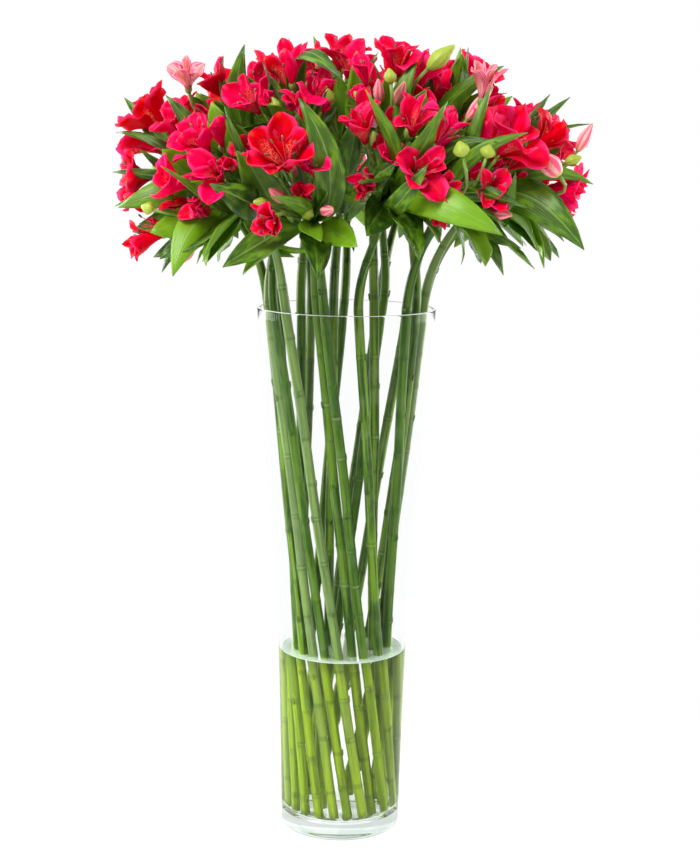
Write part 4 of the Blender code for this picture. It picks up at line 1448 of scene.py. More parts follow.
def build_tepal(grid, flower, ways, fitted, is_outer, chance, tone):
    """One tepal on its planned place: a narrow claw that opens into a cupped blade with a ruffled edge."""
    mesh, across, along = grid
    broad, tip, half_width, opening = fitted
    length = (tip - broad).length / (1.0 - TEPAL_BREAK) * TEPAL_STRETCH * chance.uniform(*TEPAL_SIZES)
    axis, out, side = np.array(flower["axis"]), *(np.array(way) for way in ways)
    share = np.linspace(0.0, 1.0, TEPAL_ROWS + 1)
    curl = chance.uniform(*TIP_CURL)
    first_lean, last_lean = TEPAL_LEANS
    leans = np.radians(opening + first_lean + (last_lean - first_lean) * share + curl * share ** 3)
    middle = (leans[1:] + leans[:-1]) / 2
    steps = (axis * np.cos(middle)[:, None] + out * np.sin(middle)[:, None]) * length / TEPAL_ROWS
    root = np.array(flower["base"]) + axis * CORE_LENGTH * 0.35 + out * CORE_RADIUS * 0.7
    line = root + np.vstack([np.zeros(3), np.cumsum(steps, axis=0)])
    line += side * (chance.uniform(-TEPAL_SWAY, TEPAL_SWAY) * length * share ** 2)[:, None]
    twist = math.radians(chance.uniform(-TEPAL_TWIST, TEPAL_TWIST))
    sides, tops = rolled(*frames_along(line, side), twist * share)
    peak, claw, blunt, fullness = OUTER_OUTLINE if is_outer else INNER_OUTLINE
    rising = claw + (1.0 - claw) * smooth_step(share, 0.06, peak)
    falling = 1.0 - np.clip((share - peak) / (1.02 - peak), 0.0, 1.0) ** 2.7
    outline = np.maximum(rising * np.sqrt(np.clip(falling, 0.0, 1.0)), blunt)
    half = half_width * fullness * chance.uniform(0.84, 1.08) * outline
    cup = chance.uniform(*CUP)
    phase, across_phase, along_phase = (chance.uniform(0.0, 6.28) for _ in range(3))
    edge = np.abs(across)
    ruffle = RUFFLE * edge ** 2 * smooth_step(along, 0.3, 0.7)
    ruffle *= np.sin(2 * math.pi * RUFFLES * along + phase + np.where(across > 0, 0.0, 2.1))
    dents = np.sin(3.0 * across + across_phase) * np.sin(9.0 * along + along_phase)
    ruffle += CRUMPLE * dents * smooth_step(along, 0.15, 0.45)
    lifted = cup * edge ** 2 + ruffle - MIDRIB_GROOVE * np.exp(-(across / 0.22) ** 2)
    points = bent(grid, line, sides, tops, half, lifted)
    pointed = MUCRO * (1.0 - edge) * (np.rint(along * TEPAL_ROWS) == TEPAL_ROWS)
    points += (line[-1] - line[-2]) / np.linalg.norm(line[-1] - line[-2]) * pointed[:, None]
    copy = mesh.copy()
    set_points(copy, boxed(points))
    set_values(copy, "tone", np.clip(tone + chance.uniform(-0.12, 0.12), 0.0, 1.0))
    set_values(copy, "flecked", 0.0 if is_outer else 1.0)
    set_values(copy, "pale", 1.0 if flower["kind"] == "pale flower" else 0.0)
    return copy


def build_flower(grid, flower, chance):
    """The meshes of the six tepals of a flower, each fitted to its place."""
    tone = chance.random()
    openness = chance.uniform(*flower["openness"])
    axis, first = flower["axis"], flower["first"]
    tepals = []
    for bearing, jitter in zip(CORE_BEARINGS, flower["jitter"]):
        angle = math.radians(bearing)
        outward = turned_to(first, axis.cross(first), angle)
        is_outer = math.cos(3 * angle) > 0
        opening = (OUTER_OPENING if is_outer else INNER_OPENING) + jitter + openness
        width = (OUTER_WIDTH if is_outer else INNER_WIDTH) * flower["size"]
        fitted = fit_tepal(flower, outward, opening, width)
        if not fitted and flower["kind"] != "planned flower":
            shut = opening - SHUT_BEND
            length = TEPAL_LENGTH * flower["size"] * SHUT_SHARE
            fitted = *tepal_points(flower["base"], axis, outward, shut, length), SHUT_WIDTH, shut
        if fitted:
            ways = outward, axis.cross(outward)
            tepals.append(build_tepal(grid, flower, ways, fitted, is_outer, chance, tone))
    return tepals


def flowers_of(head):
    return [flower for flower in head["rays"] + head["shoots"] if flower["kind"].endswith("flower")]


def petals_of(head, grid):
    """The meshes of the petals of a head's flowers."""
    chance = chance_for(head, "petals")
    return [tepal for flower in flowers_of(head) for tepal in build_flower(grid, flower, chance)]


# Stamens, short stalks and buds

def stamen_model():
    """A filament that bends over and carries an anther; it stands on +Z."""
    share = np.linspace(0.0, 1.0, 7)
    path = [Vector((STAMEN_BEND * s ** 2, 0.0, STAMEN_LENGTH * s)) for s in share]
    filament = tube(path, [FILAMENT_RADIUS * (1.1 - 0.5 * s) for s in share], 0)
    set_values(filament, "anther", 0.0)
    anther = sphere(6, 5)
    lean = Matrix.Rotation(math.radians(ANTHER_LEAN), 4, "Y")
    anther.transform(Matrix.Translation(path[-1]) @ lean @ Matrix.Diagonal((*ANTHER_SIZE, 1.0)))
    set_values(anther, "anther", 1.0)
    return taken(joined("stamen", [filament, anther]))


def ovary_model():
    """The green base of a flower, a turned bulge with six ribs; it stands on +Z."""
    mesh = sphere(18, 8)
    points = get_points(mesh)
    ribs = 1.0 + 0.13 * np.cos(6 * np.arctan2(points[:, 1], points[:, 0]))
    points[:, :2] *= (OVARY_RADIUS * ribs * (1.0 + 0.15 * points[:, 2]))[:, None]
    points[:, 2] = points[:, 2] * OVARY_LENGTH / 2
    set_points(mesh, points)
    return mesh


def bud_model():
    """A closed bud of unit length and width: ridged, fullest below its middle and drawn out to a point."""
    mesh = sphere(18, 12, 0.5)
    points = get_points(mesh)
    height = points[:, 2] + 0.5
    bearing = np.arctan2(points[:, 1], points[:, 0]) + 0.7 * height
    ridge = 1.0 - 0.10 * np.cos(6 * bearing) * np.sin(math.pi * np.clip(height, 0.0, 1.0))
    points[:, :2] *= (ridge * (1.0 - 0.42 * smooth_step(height, 0.35, 1.0)))[:, None]
    points[:, 2] = height
    set_points(mesh, points)
    return mesh


def on_axis(place, axis, bearing=0.0):
    """A matrix that puts a model at a place with its +Z on an axis, turned round it."""
    first, second = side_frame(axis)
    spin = Matrix((first, second, axis)).transposed().to_4x4()
    return Matrix.Translation(place) @ spin @ Matrix.Rotation(bearing, 4, "Z")


def short_stalk(start, start_way, end, end_way, radii):
    pull = (end - start).length * 0.4
    shares = spaced(0.0, 1.0, 8)
    path = [bezier(start, start + start_way * pull, end - end_way * pull, end, share) for share in shares]
    return tube(path, spaced(*radii, 8), 1)


def stamens_of(head, model):
    """The meshes of the stamens of a head's planned flowers."""
    chance = chance_for(head, "stamens")
    copies = []
    for flower in head["rays"]:
        if flower["kind"] == "planned flower":
            axis = flower["axis"]
            for number in range(STAMENS):
                bearing = 2 * math.pi * (number + chance.uniform(-0.2, 0.2)) / STAMENS
                way = tilted(axis, *side_frame(axis), bearing, chance.uniform(4.0, 13.0))
                place = on_axis(flower["base"] + axis * CORE_LENGTH * 0.6, way, bearing)
                copies.append(copy_placed(model, place @ Matrix.Scale(chance.uniform(0.75, 1.05), 4)))
    return copies


def short_stalks_of(head, ovary):
    """The meshes of a head's short stalks, with the ribbed base of each flower."""
    base, axis = head["base"], head["axis"]
    knot = base + axis * KNOT_LENGTH
    meshes = [short_stalk(base - axis * KNOT_SUNK, axis, knot, axis, KNOT_RADII)]
    for ray in head["rays"] + head["shoots"]:
        end = ray["base"] + ray["axis"] * RAY_SUNK
        start = base + axis * RAY_SUNK
        meshes.append(short_stalk(start, (end - base).normalized(), end, ray["axis"], RAY_RADII))
        if ray["kind"].endswith("flower"):
            place = ray["base"] + ray["axis"] * OVARY_LENGTH * 0.40
            meshes.append(copy_placed(ovary, on_axis(place, ray["axis"])))
    return meshes


def buds_of(head, model):
    """The meshes of a head's buds: the planned ones, those between its flowers and those in view."""
    chance = chance_for(head, "buds")
    copies = []
    for bud in head["rays"] + head["shoots"]:
        kind = bud["kind"]
        if kind.endswith("flower"):
            continue
        width, length = bud.get("shape") or BUD_SHAPES[kind]
        growth = chance.uniform(*BUD_GROWTH) if kind in ("green bud", "ripe bud") else 1.0
        ripe = bud["ripe"] if kind == "seen bud" else chance.uniform(*RIPENESS[kind])
        base = bud["base"] - bud["axis"] * (0.0 if kind == "seen bud" else RAY_SUNK)
        size = Matrix.Diagonal((width * growth, width * growth, length * growth, 1.0))
        copy = copy_placed(model, on_axis(base, bud["axis"]) @ size)
        set_values(copy, "ripe", ripe)
        copies.append(copy)
    return copies


def turn_faces(head):
    """Turn each flower a little from its planned direction and round its axis, and say how open it is."""
    chance = chance_for(head, "faces")
    for number, ray in enumerate(head["rays"]):
        is_hero = number == 0 and head["name"] in HEROES
        reach = FACE_TILT * (0.3 if is_hero else 1.0)
        across = ray["axis"].cross(ray["first"])
        tilt = ray["first"] * math.tan(math.radians(chance.uniform(-reach, reach)))
        tilt += across * math.tan(math.radians(chance.uniform(-reach, reach)))
        axis = (ray["axis"] + tilt).normalized()
        first = (ray["first"] - axis * axis.dot(ray["first"])).normalized()
        spin = math.radians(chance.uniform(-FACE_SPIN, FACE_SPIN))
        ray["axis"], ray["first"] = axis, turned_to(first, axis.cross(first), spin)
        ray["size"] = HERO_SIZE if is_hero else chance.uniform(0.90, 1.0)
        ray["openness"] = HERO_OPENNESS if is_hero else OPENNESS
        if (head["name"], number) in HALF_OPEN:
            ray["size"], ray["openness"] = HALF_OPEN_SIZE, SHOOT_OPENNESS


def place_shoots(head):
    """Smaller flowers and buds in the gaps between the planned ones, each on a short stalk of its own."""
    chance = chance_for(head, "shoots")
    axis, base = head["axis"], head["base"]
    first, second = side_frame(axis)
    ways = [ray["base"] - base for ray in head["rays"][1:]]
    bearings = sorted(math.atan2(way.dot(second), way.dot(first)) for way in ways)
    head["shoots"] = []
    for spreads, lengths, sizes, facing_gain in SHOOT_RINGS:
        for bearing, following in zip(bearings, bearings[1:] + [bearings[0] + 2 * math.pi]):
            between = (bearing + following) / 2 + chance.uniform(-0.3, 0.3)
            spread = chance.uniform(*spreads)
            length = HEAD_DEPTH * chance.uniform(*lengths)
            size = chance.uniform(*sizes)
            kind = chance.choice(SHOOT_KINDS)
            jitter = [chance.uniform(-6.0, 6.0) for _ in range(6)]
            while spread > 6.0:
                end = base + tilted(axis, first, second, between, spread) * length
                facing = tilted(axis, first, second, between, spread * facing_gain)
                far_end = end + facing * TEPAL_LENGTH * size
                is_high = min(end.z, far_end.z) > SHOOT_FLOOR
                if is_high and inside([end, far_end], head["planes"], SHOOT_MARGIN):
                    break
                spread -= 2.0
            if spread <= 6.0 or spread < spreads[0] * 0.6:
                continue
            planes = list(head["planes"])
            for ray in head["rays"] + head["shoots"]:
                away = (end + facing * CORE_LENGTH - ray["base"] - ray["axis"] * CORE_LENGTH).normalized()
                planes.append(((end + ray["base"]) / 2 - away * SHOOT_OVERLAP, away))
            inward = (axis - facing * axis.dot(facing)).normalized()
            head["shoots"].append({"base": end, "axis": facing, "first": inward, "planes": planes,
                                   "kind": kind, "jitter": jitter, "size": size,
                                   "openness": SHOOT_OPENNESS})


def in_box(point):
    """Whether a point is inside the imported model's box, with room for a petal's or a leaf's own width."""
    corners = zip(CAD_BOX[0], point, CAD_BOX[1])
    return all(low + BOX_ROOM < part < high - BOX_ROOM for low, part, high in corners)


def extra_size(chance):
    """The length and the width of a leaf that only this model has."""
    length = chance.uniform(*INNER_LEAF_LENGTH) * chance.uniform(*INNER_LEAF_SIZES)
    return length, length * chance.uniform(*INNER_LEAF_SHAPE)


def place_inner_leaves(head):
    """Leaves that stand up among the flowers' short stalks and show their tips between the flowers."""
    chance = chance_for(head, "inner leaves")
    axis, ways = head["axis"], side_frame(head["axis"])
    start = chance.uniform(0.0, 2 * math.pi)
    for number in range(INNER_LEAVES * INNER_LEAF_TRIES):
        outward = turned_to(*ways, start + number * math.radians(LEAF_TURN))
        length, width = extra_size(chance)
        lean, bend = chance.uniform(*INNER_LEAF_LEAN), chance.uniform(*INNER_LEAF_BEND)
        points = leaf_line(head["leaf_root"], axis, outward, lean, bend, length)
        has_room = len(head["leaf_list"]) < head["leaves"] + INNER_LEAVES
        if has_room and inside(points, head["planes"], 0.0) and points[-1].z > LEAF_FLOOR:
            if in_box(points[-1]) and clear_of_petals(points, head):
                head["leaf_list"].append({"points": points, "side": axis.cross(outward), "width": width})


def seen(spot, depth):
    """The place behind a pixel of the photograph, at a depth behind the vase's axis."""
    width, height = PICTURE
    line = Vector((spot[0] - width / 2, height / 2 - spot[1], -VIEW_LENS / SENSOR * max(PICTURE)))
    line = view_turn(math.radians(VIEW_PITCH), math.radians(VIEW_ROLL)) @ line
    return VIEW_PLACE + line * ((depth - VIEW_PLACE.y) / line.y)


def view_turn(pitch, roll):
    """The turn of a camera that looks down by a pitch and leans by a roll, in radians."""
    return Matrix.Rotation(math.radians(90.0) - pitch, 3, "X") @ Matrix.Rotation(roll, 3, "Z")


def place_seen(head):
    """The leaves, buds and young flowers of a head that the photograph shows."""
    low = LOW_LEAVES.get(head["name"])
    root = head["path"][-3].lerp(head["path"][-4], low) if low else head["leaf_root"]
    for middle, tip, depths, width, turn, fresh in LEAVES_IN_VIEW.get(head["name"], ()):
        middle, tip = seen(middle, depths[0]), seen(tip, depths[1])
        share = (middle - root).length / ((middle - root).length + (tip - middle).length)
        pull = (middle - root * (1 - share) ** 2 - tip * share ** 2) / (2 * share * (1 - share))
        points = [root * (1 - s) ** 2 + pull * 2 * s * (1 - s) + tip * s ** 2 for s in spaced(0.0, 1.0, 3)]
        way = (tip - middle).normalized()
        facing = (VIEW_PLACE - middle).cross(way).normalized()
        side = Matrix.Rotation(math.radians(turn), 3, way) @ facing
        head["leaf_list"].append({"points": points, "side": side, "width": width * SEEN_WIDTH,
                                  "fresh": fresh})
    for base, tip, depth, width, ripe in BUDS_IN_VIEW.get(head["name"], ()):
        base, tip = seen(base, depth), seen(tip, depth)
        head["shoots"].append({"base": base, "axis": (tip - base).normalized(), "kind": "seen bud",
                               "shape": (width, (tip - base).length), "ripe": ripe})
    for base, tip, depths, size, openness in YOUNG_IN_VIEW.get(head["name"], ()):
        base, tip = seen(base, depths[0]), seen(tip, depths[1])
        axis = (tip - base).normalized()
        head["shoots"].append({"base": base, "axis": axis, "first": side_frame(axis)[0], "planes": [],
                               "kind": "pale flower", "jitter": [0.0] * 6, "size": size,
                               "openness": openness})


def clear_of_petals(points, head):
    """Whether a leaf's middle line stays out of the space that the petals of the head's flowers enclose."""
    marks = [start.lerp(end, step / 3) for start, end in zip(points[1:], points[2:]) for step in range(4)]
    for flower in head["rays"] + head["shoots"]:
        for mark in marks:
            height = (mark - flower["base"]).dot(flower["axis"])
            away = (mark - flower["base"] - flower["axis"] * height).length
            if CORE_LENGTH < height < TEPAL_LENGTH * flower["size"] and away < height * PETAL_CONE:
                return False
    return True


def place_neck_leaves(head):
    """Leaves that stand up round the neck of a stalk in the middle of the bunch."""
    if not head["name"].startswith("crown"):
        return
    chance = chance_for(head, "neck leaves")
    low, high = head["path"][-3:-1]
    way = (high - low).normalized()
    ways = side_frame(way)
    start = chance.uniform(0.0, 2 * math.pi)
    for number in range(NECK_LEAVES):
        outward = turned_to(*ways, start + number * math.radians(LEAF_TURN))
        length, width = extra_size(chance)
        root = low.lerp(high, chance.random())
        lean, bend = chance.uniform(*NECK_LEAF_LEAN), chance.uniform(*NECK_LEAF_BEND)
        points = leaf_line(root, way, outward, lean, bend, length)
        if clear_of_petals(points, head):
            head["leaf_list"].append({"points": points, "side": way.cross(outward), "width": width})


def plan_bunch():
    """Every head with its stalk's path, its flowers and buds, and its leaves, as in the solids."""
    heads = read_heads()
    set_cells(heads)
    for head, (foot, rim) in zip(heads, place_stalks(heads)):
        head["path"] = stalk_path(foot, rim, head)
    for head in heads:
        paths = [other["path"] for other in heads if other is not head]
        place_flowers(head)
        set_flower_cells(head)
        place_leaves(head, np.array([mark for path in paths for mark in stalk_marks(path)]))
        turn_faces(head)
        place_shoots(head)
        place_inner_leaves(head)
        place_neck_leaves(head)
        place_seen(head)
    return heads


BUNCH = plan_bunch()


# Settings

def colour_setting(name, description, red, green, blue):
    colour = opaque(red, green, blue)
    return bpy.props.FloatVectorProperty(name=name, description=description, default=colour, size=4,
                                         subtype="COLOR", min=0.0, max=1.0)


def number_setting(name, description, default, **limits):
    return bpy.props.FloatProperty(name=name, description=description, default=default, **limits)


class BouquetGlassSettings(bpy.types.PropertyGroup):
    wall_tint: colour_setting("Wall tint", "Colour of the glass in the wall", 0.985, 0.995, 0.99)
    base_tint: colour_setting("Base tint", "Colour of the glass in the thick base", 0.94, 0.985, 0.965)
    # This tint paints the caustic patches in the base and the shade line at the foot
    painted_caustic_and_edge_tint: colour_setting("Smear tint", "Grey-green smears in the thick base", 0.42, 0.58, 0.52)
    water_tint: colour_setting("Water tint", "Colour of the water", 0.96, 0.99, 0.93)
    # Colour of the painted reflection on the water's surface
    surface_reflection_tint: colour_setting("Surface tint", "Colour of the water's surface", 0.58, 0.73, 0.64)
    # Colour of the lip's painted highlight
    lip_highlight_tint: colour_setting("Lip tint", "Colour of the polished lip", 0.93, 0.97, 0.98)
    turn_steps: bpy.props.IntProperty(name="Turn steps", description="Steps round the vase", default=96,
                                      min=24)


class BouquetGreenSettings(bpy.types.PropertyGroup):
    stalk_dark: colour_setting("Stalk dark", "Darker streaks of a stalk", 0.010, 0.042, 0.001)
    stalk_light: colour_setting("Stalk light", "Lighter streaks of a stalk", 0.120, 0.222, 0.008)
    stalk_bright: colour_setting("Stalk bright", "Pale patches of a stalk", 0.200, 0.280, 0.110)
    stalk_wet: colour_setting("Stalk under water", "Stalk colour below the water", 0.232, 0.332, 0.003)
    stalk_grey: colour_setting("Stalk grey", "Cool green of the duller stalks", 0.036, 0.098, 0.008)
    scar_colour: colour_setting("Leaf scar", "Dry colour of a leaf scar", 0.24, 0.34, 0.11)
    leaf_dark: colour_setting("Leaf dark", "Darker green of the upper face", 0.004, 0.032, 0.001)
    leaf_light: colour_setting("Leaf light", "Lighter green of the upper face", 0.125, 0.275, 0.006)
    leaf_fresh: colour_setting("Leaf fresh", "Green of the youngest leaves", 0.200, 0.430, 0.004)
    leaf_vein: colour_setting("Leaf vein", "Veins of the upper face", 0.26, 0.42, 0.09)
    under_dark: colour_setting("Underside dark", "Darker green of the underside", 0.075, 0.185, 0.026)
    under_light: colour_setting("Underside light", "Lighter green of the underside", 0.400, 0.540, 0.290)
    under_vein: colour_setting("Underside vein", "Veins of the underside", 0.27, 0.38, 0.18)
    leaf_glow: colour_setting("Leaf glow", "Light through a leaf", 0.30, 0.55, 0.03)


class BouquetFlowerSettings(bpy.types.PropertyGroup):
    inside_deep: colour_setting("Inside deep", "Deeper red of the inner faces", 0.66, 0.000, 0.004)
    inside_bright: colour_setting("Inside bright", "Brighter red of the inner faces", 0.94, 0.001, 0.100)
    outside_deep: colour_setting("Outside deep", "Deeper pink of the outer faces", 0.82, 0.000, 0.065)
    outside_bright: colour_setting("Outside bright", "Brighter pink of the outer faces", 0.98, 0.004, 0.300)
    petal_vein: colour_setting("Petal vein", "Fine veins of a petal", 0.34, 0.000, 0.004)
    # Colour of the painted highlight near a petal's edge
    petal_edge_highlight: colour_setting("Petal rim", "Paler pink near a petal's edge", 0.98, 0.12, 0.50)
    petal_tip: colour_setting("Petal tip", "Dull green at a petal's tip", 0.30, 0.12, 0.05)
    petal_gold: colour_setting("Gold", "Pale gold net of the inner petals", 0.90, 0.36, 0.22)
    petal_fleck: colour_setting("Fleck", "Dark flecks of the inner petals", 0.10, 0.002, 0.008)
    # Colour of the painted shade at a petal's root
    petal_root_shade: colour_setting("Throat", "Colour at a petal's root", 0.26, 0.006, 0.008)
    petal_pale: colour_setting("Young petal", "Pale pink of a half-open flower", 0.95, 0.47, 0.56)
    petal_glow: colour_setting("Petal glow", "Light through a petal", 0.98, 0.0, 0.10)
    bud_green: colour_setting("Bud green", "Green of a bud", 0.17, 0.34, 0.03)
    bud_yellow: colour_setting("Bud yellow", "Yellow-green of a bud", 0.48, 0.52, 0.06)
    bud_pink: colour_setting("Bud pink", "Pink of a ripe bud", 0.86, 0.10, 0.20)
    bud_stripe: colour_setting("Bud stripe", "Pale stripes of a ripe bud", 0.90, 0.42, 0.40)
    short_stalk_dark: colour_setting("Short stalk dark", "Darker green of a short stalk", 0.09, 0.20, 0.02)
    short_stalk_light: colour_setting("Short stalk light", "Short stalk's lighter green", 0.24, 0.38, 0.06)
    short_stalk_blush: colour_setting("Short stalk blush", "Red blush of a short stalk", 0.32, 0.08, 0.04)
    filament_dark: colour_setting("Filament dark", "Darker pink of a stamen", 0.55, 0.01, 0.05)
    filament_light: colour_setting("Filament light", "Lighter pink of a stamen", 0.85, 0.10, 0.16)
    anther_dark: colour_setting("Anther dark", "Darker grey-green of an anther", 0.08, 0.07, 0.04)
    anther_light: colour_setting("Anther light", "Lighter grey-green of an anther", 0.26, 0.24, 0.13)


class BouquetStageSettings(bpy.types.PropertyGroup):
    floor_colour: colour_setting("Floor", "Colour of the floor", 0.94, 0.94, 0.94)
    background: number_setting("Background", "Strength of the white surround", 1.0, min=0.0)
    surround: number_setting("Surround", "Strength of the surround's light on surfaces", 0.44, min=0.0)
    mirrored: number_setting("Mirrored", "Strength of the surround in reflections", 0.8, min=0.0)
    floor_glow: number_setting("Floor glow", "Share of the floor's shade left out", 0.85, min=0.0, max=1.0)
    key_power: number_setting("Key light", "Power of the large soft light", 66.0, min=0.0, unit="POWER")
    side_power: number_setting("Side lights", "Power of each side light", 42.0, min=0.0, unit="POWER")
    camera_place: bpy.props.FloatVectorProperty(name="Camera", description="Where the camera stands",
                                                default=VIEW_PLACE, unit="LENGTH")
    camera_pitch: number_setting("Pitch", "How far the camera looks down", math.radians(VIEW_PITCH),
                                 unit="ROTATION")
    camera_roll: number_setting("Roll", "How far the camera leans", math.radians(VIEW_ROLL), unit="ROTATION")
    camera_lens: number_setting("Lens", "Focal length in millimetres", VIEW_LENS)


# The stage

def build_floor(settings):
    """A plain pale floor whose shade is partly left out near the vase and wholly further off."""
    deselect_all()
    bpy.ops.mesh.primitive_plane_add(size=FLOOR_SIZE, location=(0.0, 0.0, -FLOOR_GAP))
    floor = bpy.context.object
    floor.name = "studio_floor"
    finish = Finish("studio_floor")
    place = finish.place()
    grain = finish.noise(place, 40.0) * 0.03
    finish.show(finish.mix(grain, settings.floor_colour, opaque(0.85, 0.85, 0.85)), 0.6)
    rays = finish.node("ShaderNodeLightPath", {}, {}).socket.node.outputs
    seen_by_ray = Signal(finish, rays["Is Camera Ray"])
    for kind in ("Is Transmission Ray", "Is Glossy Ray"):
        seen_by_ray = seen_by_ray.larger(Signal(finish, rays[kind]))
    x, y, _ = finish.parts(place)
    far = finish.step(x * x + y * y, *FLOOR_FADE)
    share = seen_by_ray * (settings.floor_glow + far * (1.0 - settings.floor_glow))
    material = finish.mix_in(share, "ShaderNodeEmission", Color=opaque(1.0, 1.0, 1.0), Strength=1.0)
    floor.data.materials.append(material)


def build_surround(settings):
    """A white surround that gives less light to surfaces and reflections than it shows to the camera."""
    world = bpy.data.worlds.new("studio_surround")
    world.use_nodes = True
    nodes, links = world.node_tree.nodes, world.node_tree.links
    background = nodes["Background"].inputs
    background["Color"].default_value = opaque(1.0, 1.0, 1.0)
    rays = nodes.new("ShaderNodeLightPath")
    level = None
    for kind, strength in (("Is Diffuse Ray", settings.surround), ("Is Glossy Ray", settings.mirrored)):
        pick = nodes.new("ShaderNodeMix")
        links.new(rays.outputs[kind], pick.inputs["Factor"])
        pick.inputs["A"].default_value = settings.background
        if level:
            links.new(level, pick.inputs["A"])
        pick.inputs["B"].default_value = strength
        level = pick.outputs["Result"]
    links.new(level, background["Strength"])
    bpy.context.scene.world = world


def add_light(name, place, power):
    """A large soft light that faces the flowers and isn't seen itself."""
    bpy.ops.object.light_add(type="AREA", location=place)
    light = bpy.context.object
    light.name = name
    light.data.size = LIGHT_SIZE
    light.data.energy = power
    light.visible_camera = False
    light.visible_transmission = False
    light.rotation_euler = (LIGHT_TARGET - light.location).to_track_quat("-Z", "Y").to_euler()


def add_camera(settings):
    """The camera, where the photograph was taken from."""
    bpy.ops.object.camera_add(location=settings.camera_place)
    camera = bpy.context.object
    camera.rotation_euler = view_turn(settings.camera_pitch, settings.camera_roll).to_euler()
    camera.data.lens = settings.camera_lens
    camera.data.sensor_width = SENSOR
    camera.data.clip_start = 0.01
    bpy.context.scene.camera = camera


# Operators

class BOUQUET_OT_glass(bpy.types.Operator):
    """Build the vase and its water"""

    bl_idname = "bouquet.glass"
    bl_label = "Vase and Water"

    def execute(self, context):
        settings = context.scene.bouquet_glass
        vase = turned("vase_glass", vase_profile(), settings.turn_steps)
        finishes = [glass_finish("thin_glass", settings, THIN_GLASS_IOR), lip_highlight_finish(settings),
                    glass_finish("thick_glass", settings, THICK_GLASS_IOR)]
        dress(vase, "vase_glass", finishes, "vase")
        for face in vase.data.polygons:
            # The faces at the very top take the lip's painted highlight
            if face.center.z > VASE_HEIGHT - LIP_LINE:
                face.material_index = 1
            elif face.center.z < BASE_THICKNESS + INNER_HEEL:
                face.material_index = 2
        water = turned("vase_water", water_profile(), settings.turn_steps)
        dress(water, "water", [water_finish(settings), water_top_reflection_finish(settings)], "water")
        for face in water.data.polygons:
            face.material_index = int(face.center.z > WATER_LEVEL - MENISCUS * 0.9)
        return {"FINISHED"}


class BOUQUET_OT_stalks(bpy.types.Operator):
    """Build the twenty stalks with their leaf scars"""

    bl_idname = "bouquet.stalks"
    bl_label = "Stalks"

    def execute(self, context):
        finish = stalk_finish(context.scene.bouquet_green)
        build_pieces("stalk", "stem", "green_tissue", [finish], build_stalk, scar_scale())
        return {"FINISHED"}


class BOUQUET_OT_leaves(bpy.types.Operator):
    """Build the leaves that stand up between the flowers and droop below them"""

    bl_idname = "bouquet.leaves"
    bl_label = "Leaves"

    def execute(self, context):
        green = context.scene.bouquet_green
        upper = leaf_finish("leaf_upper", green, green.leaf_dark, green.leaf_light, green.leaf_vein, 0.26)
        under = leaf_finish("leaf_under", green, green.under_dark, green.under_light, green.under_vein, 0.48)
        grid = blade_grid(LEAF_COLUMNS, LEAF_ROWS)
        build_pieces("leaves", "stem", "green_tissue", [upper, under], leaf_blades, grid, LEAF_THICKNESS)
        return {"FINISHED"}


class BOUQUET_OT_petals(bpy.types.Operator):
    """Build the petals of every flower"""

    bl_idname = "bouquet.petals"
    bl_label = "Petals"

    def execute(self, context):
        red = context.scene.bouquet_flower
        inside = petal_finish("petal_inside", red, red.inside_deep, red.inside_bright, True)
        outside = petal_finish("petal_outside", red, red.outside_deep, red.outside_bright, False)
        faces, grid = [inside, outside], blade_grid(TEPAL_COLUMNS, TEPAL_ROWS)
        build_pieces("petals", "flowers", "petal_tissue", faces, petals_of, grid, TEPAL_THICKNESS)
        return {"FINISHED"}


class BOUQUET_OT_flower_middles(bpy.types.Operator):
    """Build the stamens of the planned flowers"""

    bl_idname = "bouquet.flower_middles"
    bl_label = "Stamens"

    def execute(self, context):
        finish = stamen_finish(context.scene.bouquet_flower)
        build_pieces("stamens", "flowers", "petal_tissue", [finish], stamens_of, stamen_model())
        return {"FINISHED"}


class BOUQUET_OT_short_stalks(bpy.types.Operator):
    """Build the flowers' short stalks and their ribbed green bases"""

    bl_idname = "bouquet.short_stalks"
    bl_label = "Short Stalks"

    def execute(self, context):
        finish = short_stalk_finish(context.scene.bouquet_flower)
        build_pieces("short_stalks", "flowers", "green_tissue", [finish], short_stalks_of, ovary_model())
        return {"FINISHED"}


class BOUQUET_OT_buds(bpy.types.Operator):
    """Build the buds"""

    bl_idname = "bouquet.buds"
    bl_label = "Buds"

    def execute(self, context):
        finish = bud_finish(context.scene.bouquet_flower)
        build_pieces("buds", "flowers", "petal_tissue", [finish], buds_of, bud_model())
        return {"FINISHED"}


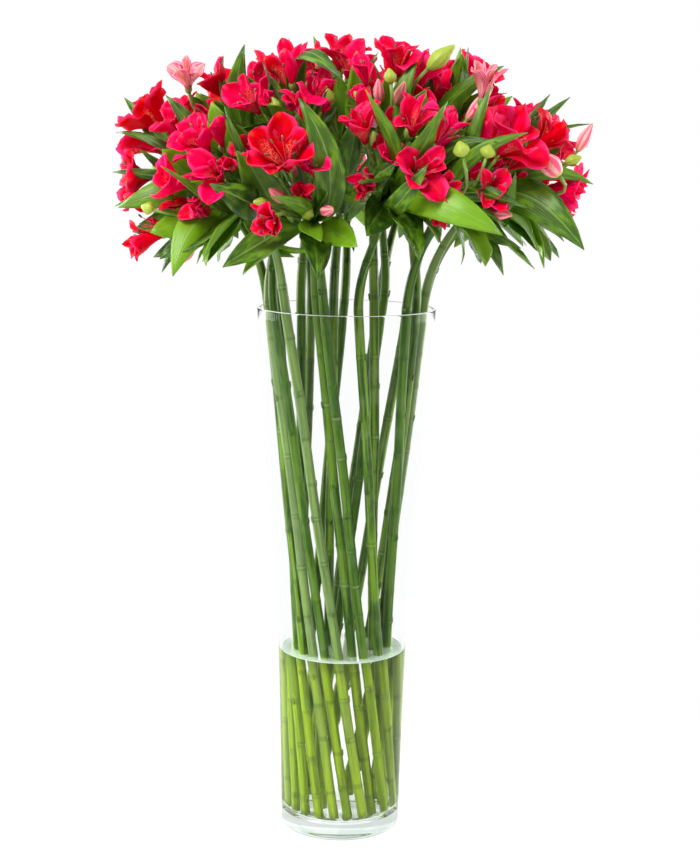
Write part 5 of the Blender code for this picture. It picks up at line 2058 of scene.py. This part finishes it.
class BOUQUET_OT_stage(bpy.types.Operator):
    """Set up the floor, the light and the camera"""

    bl_idname = "bouquet.stage"
    bl_label = "Stage"

    def execute(self, context):
        settings = context.scene.bouquet_stage
        build_floor(settings)
        build_surround(settings)
        add_light("key_light", KEY_LIGHT_PLACE, settings.key_power)
        x, y, z = SIDE_LIGHT_PLACE
        add_light("left_light", (-x, y, z), settings.side_power)
        add_light("right_light", (x, y, z), settings.side_power)
        add_camera(settings)
        context.scene.view_settings.view_transform = "Standard"
        for name, count in BOUNCES.items():
            setattr(context.scene.cycles, name, count)
        return {"FINISHED"}


class BOUQUET_PT_panel(bpy.types.Panel):
    """The bouquet's settings and operators"""

    bl_label = "Alstroemeria Bouquet"
    bl_idname = "BOUQUET_PT_panel"
    bl_space_type = "VIEW_3D"
    bl_region_type = "UI"
    bl_category = "Bouquet"

    def draw(self, context):
        for name in SETTINGS:
            group = getattr(context.scene, name)
            box = self.layout.box()
            for key in group.bl_rna.properties.keys():
                if key not in ("rna_type", "name"):
                    box.prop(group, key)
        for operator in STEPS:
            self.layout.operator(operator.bl_idname)


SETTINGS = {
    "bouquet_glass": BouquetGlassSettings,
    "bouquet_green": BouquetGreenSettings,
    "bouquet_flower": BouquetFlowerSettings,
    "bouquet_stage": BouquetStageSettings,
}
STEPS = (BOUQUET_OT_stage, BOUQUET_OT_glass, BOUQUET_OT_stalks, BOUQUET_OT_leaves, BOUQUET_OT_petals,
         BOUQUET_OT_flower_middles, BOUQUET_OT_short_stalks, BOUQUET_OT_buds)
CLASSES = (*SETTINGS.values(), *STEPS, BOUQUET_PT_panel)


def register():
    for kind in CLASSES:
        bpy.utils.register_class(kind)
    for name, kind in SETTINGS.items():
        setattr(bpy.types.Scene, name, bpy.props.PointerProperty(type=kind))


def unregister():
    for name in SETTINGS:
        delattr(bpy.types.Scene, name)
    for kind in reversed(CLASSES):
        bpy.utils.unregister_class(kind)


def main():
    register()
    for operator in STEPS:
        group, name = operator.bl_idname.split(".")
        getattr(getattr(bpy.ops, group), name)()
    bpy.context.view_layer.update()


if __name__ == "__main__":
    main()
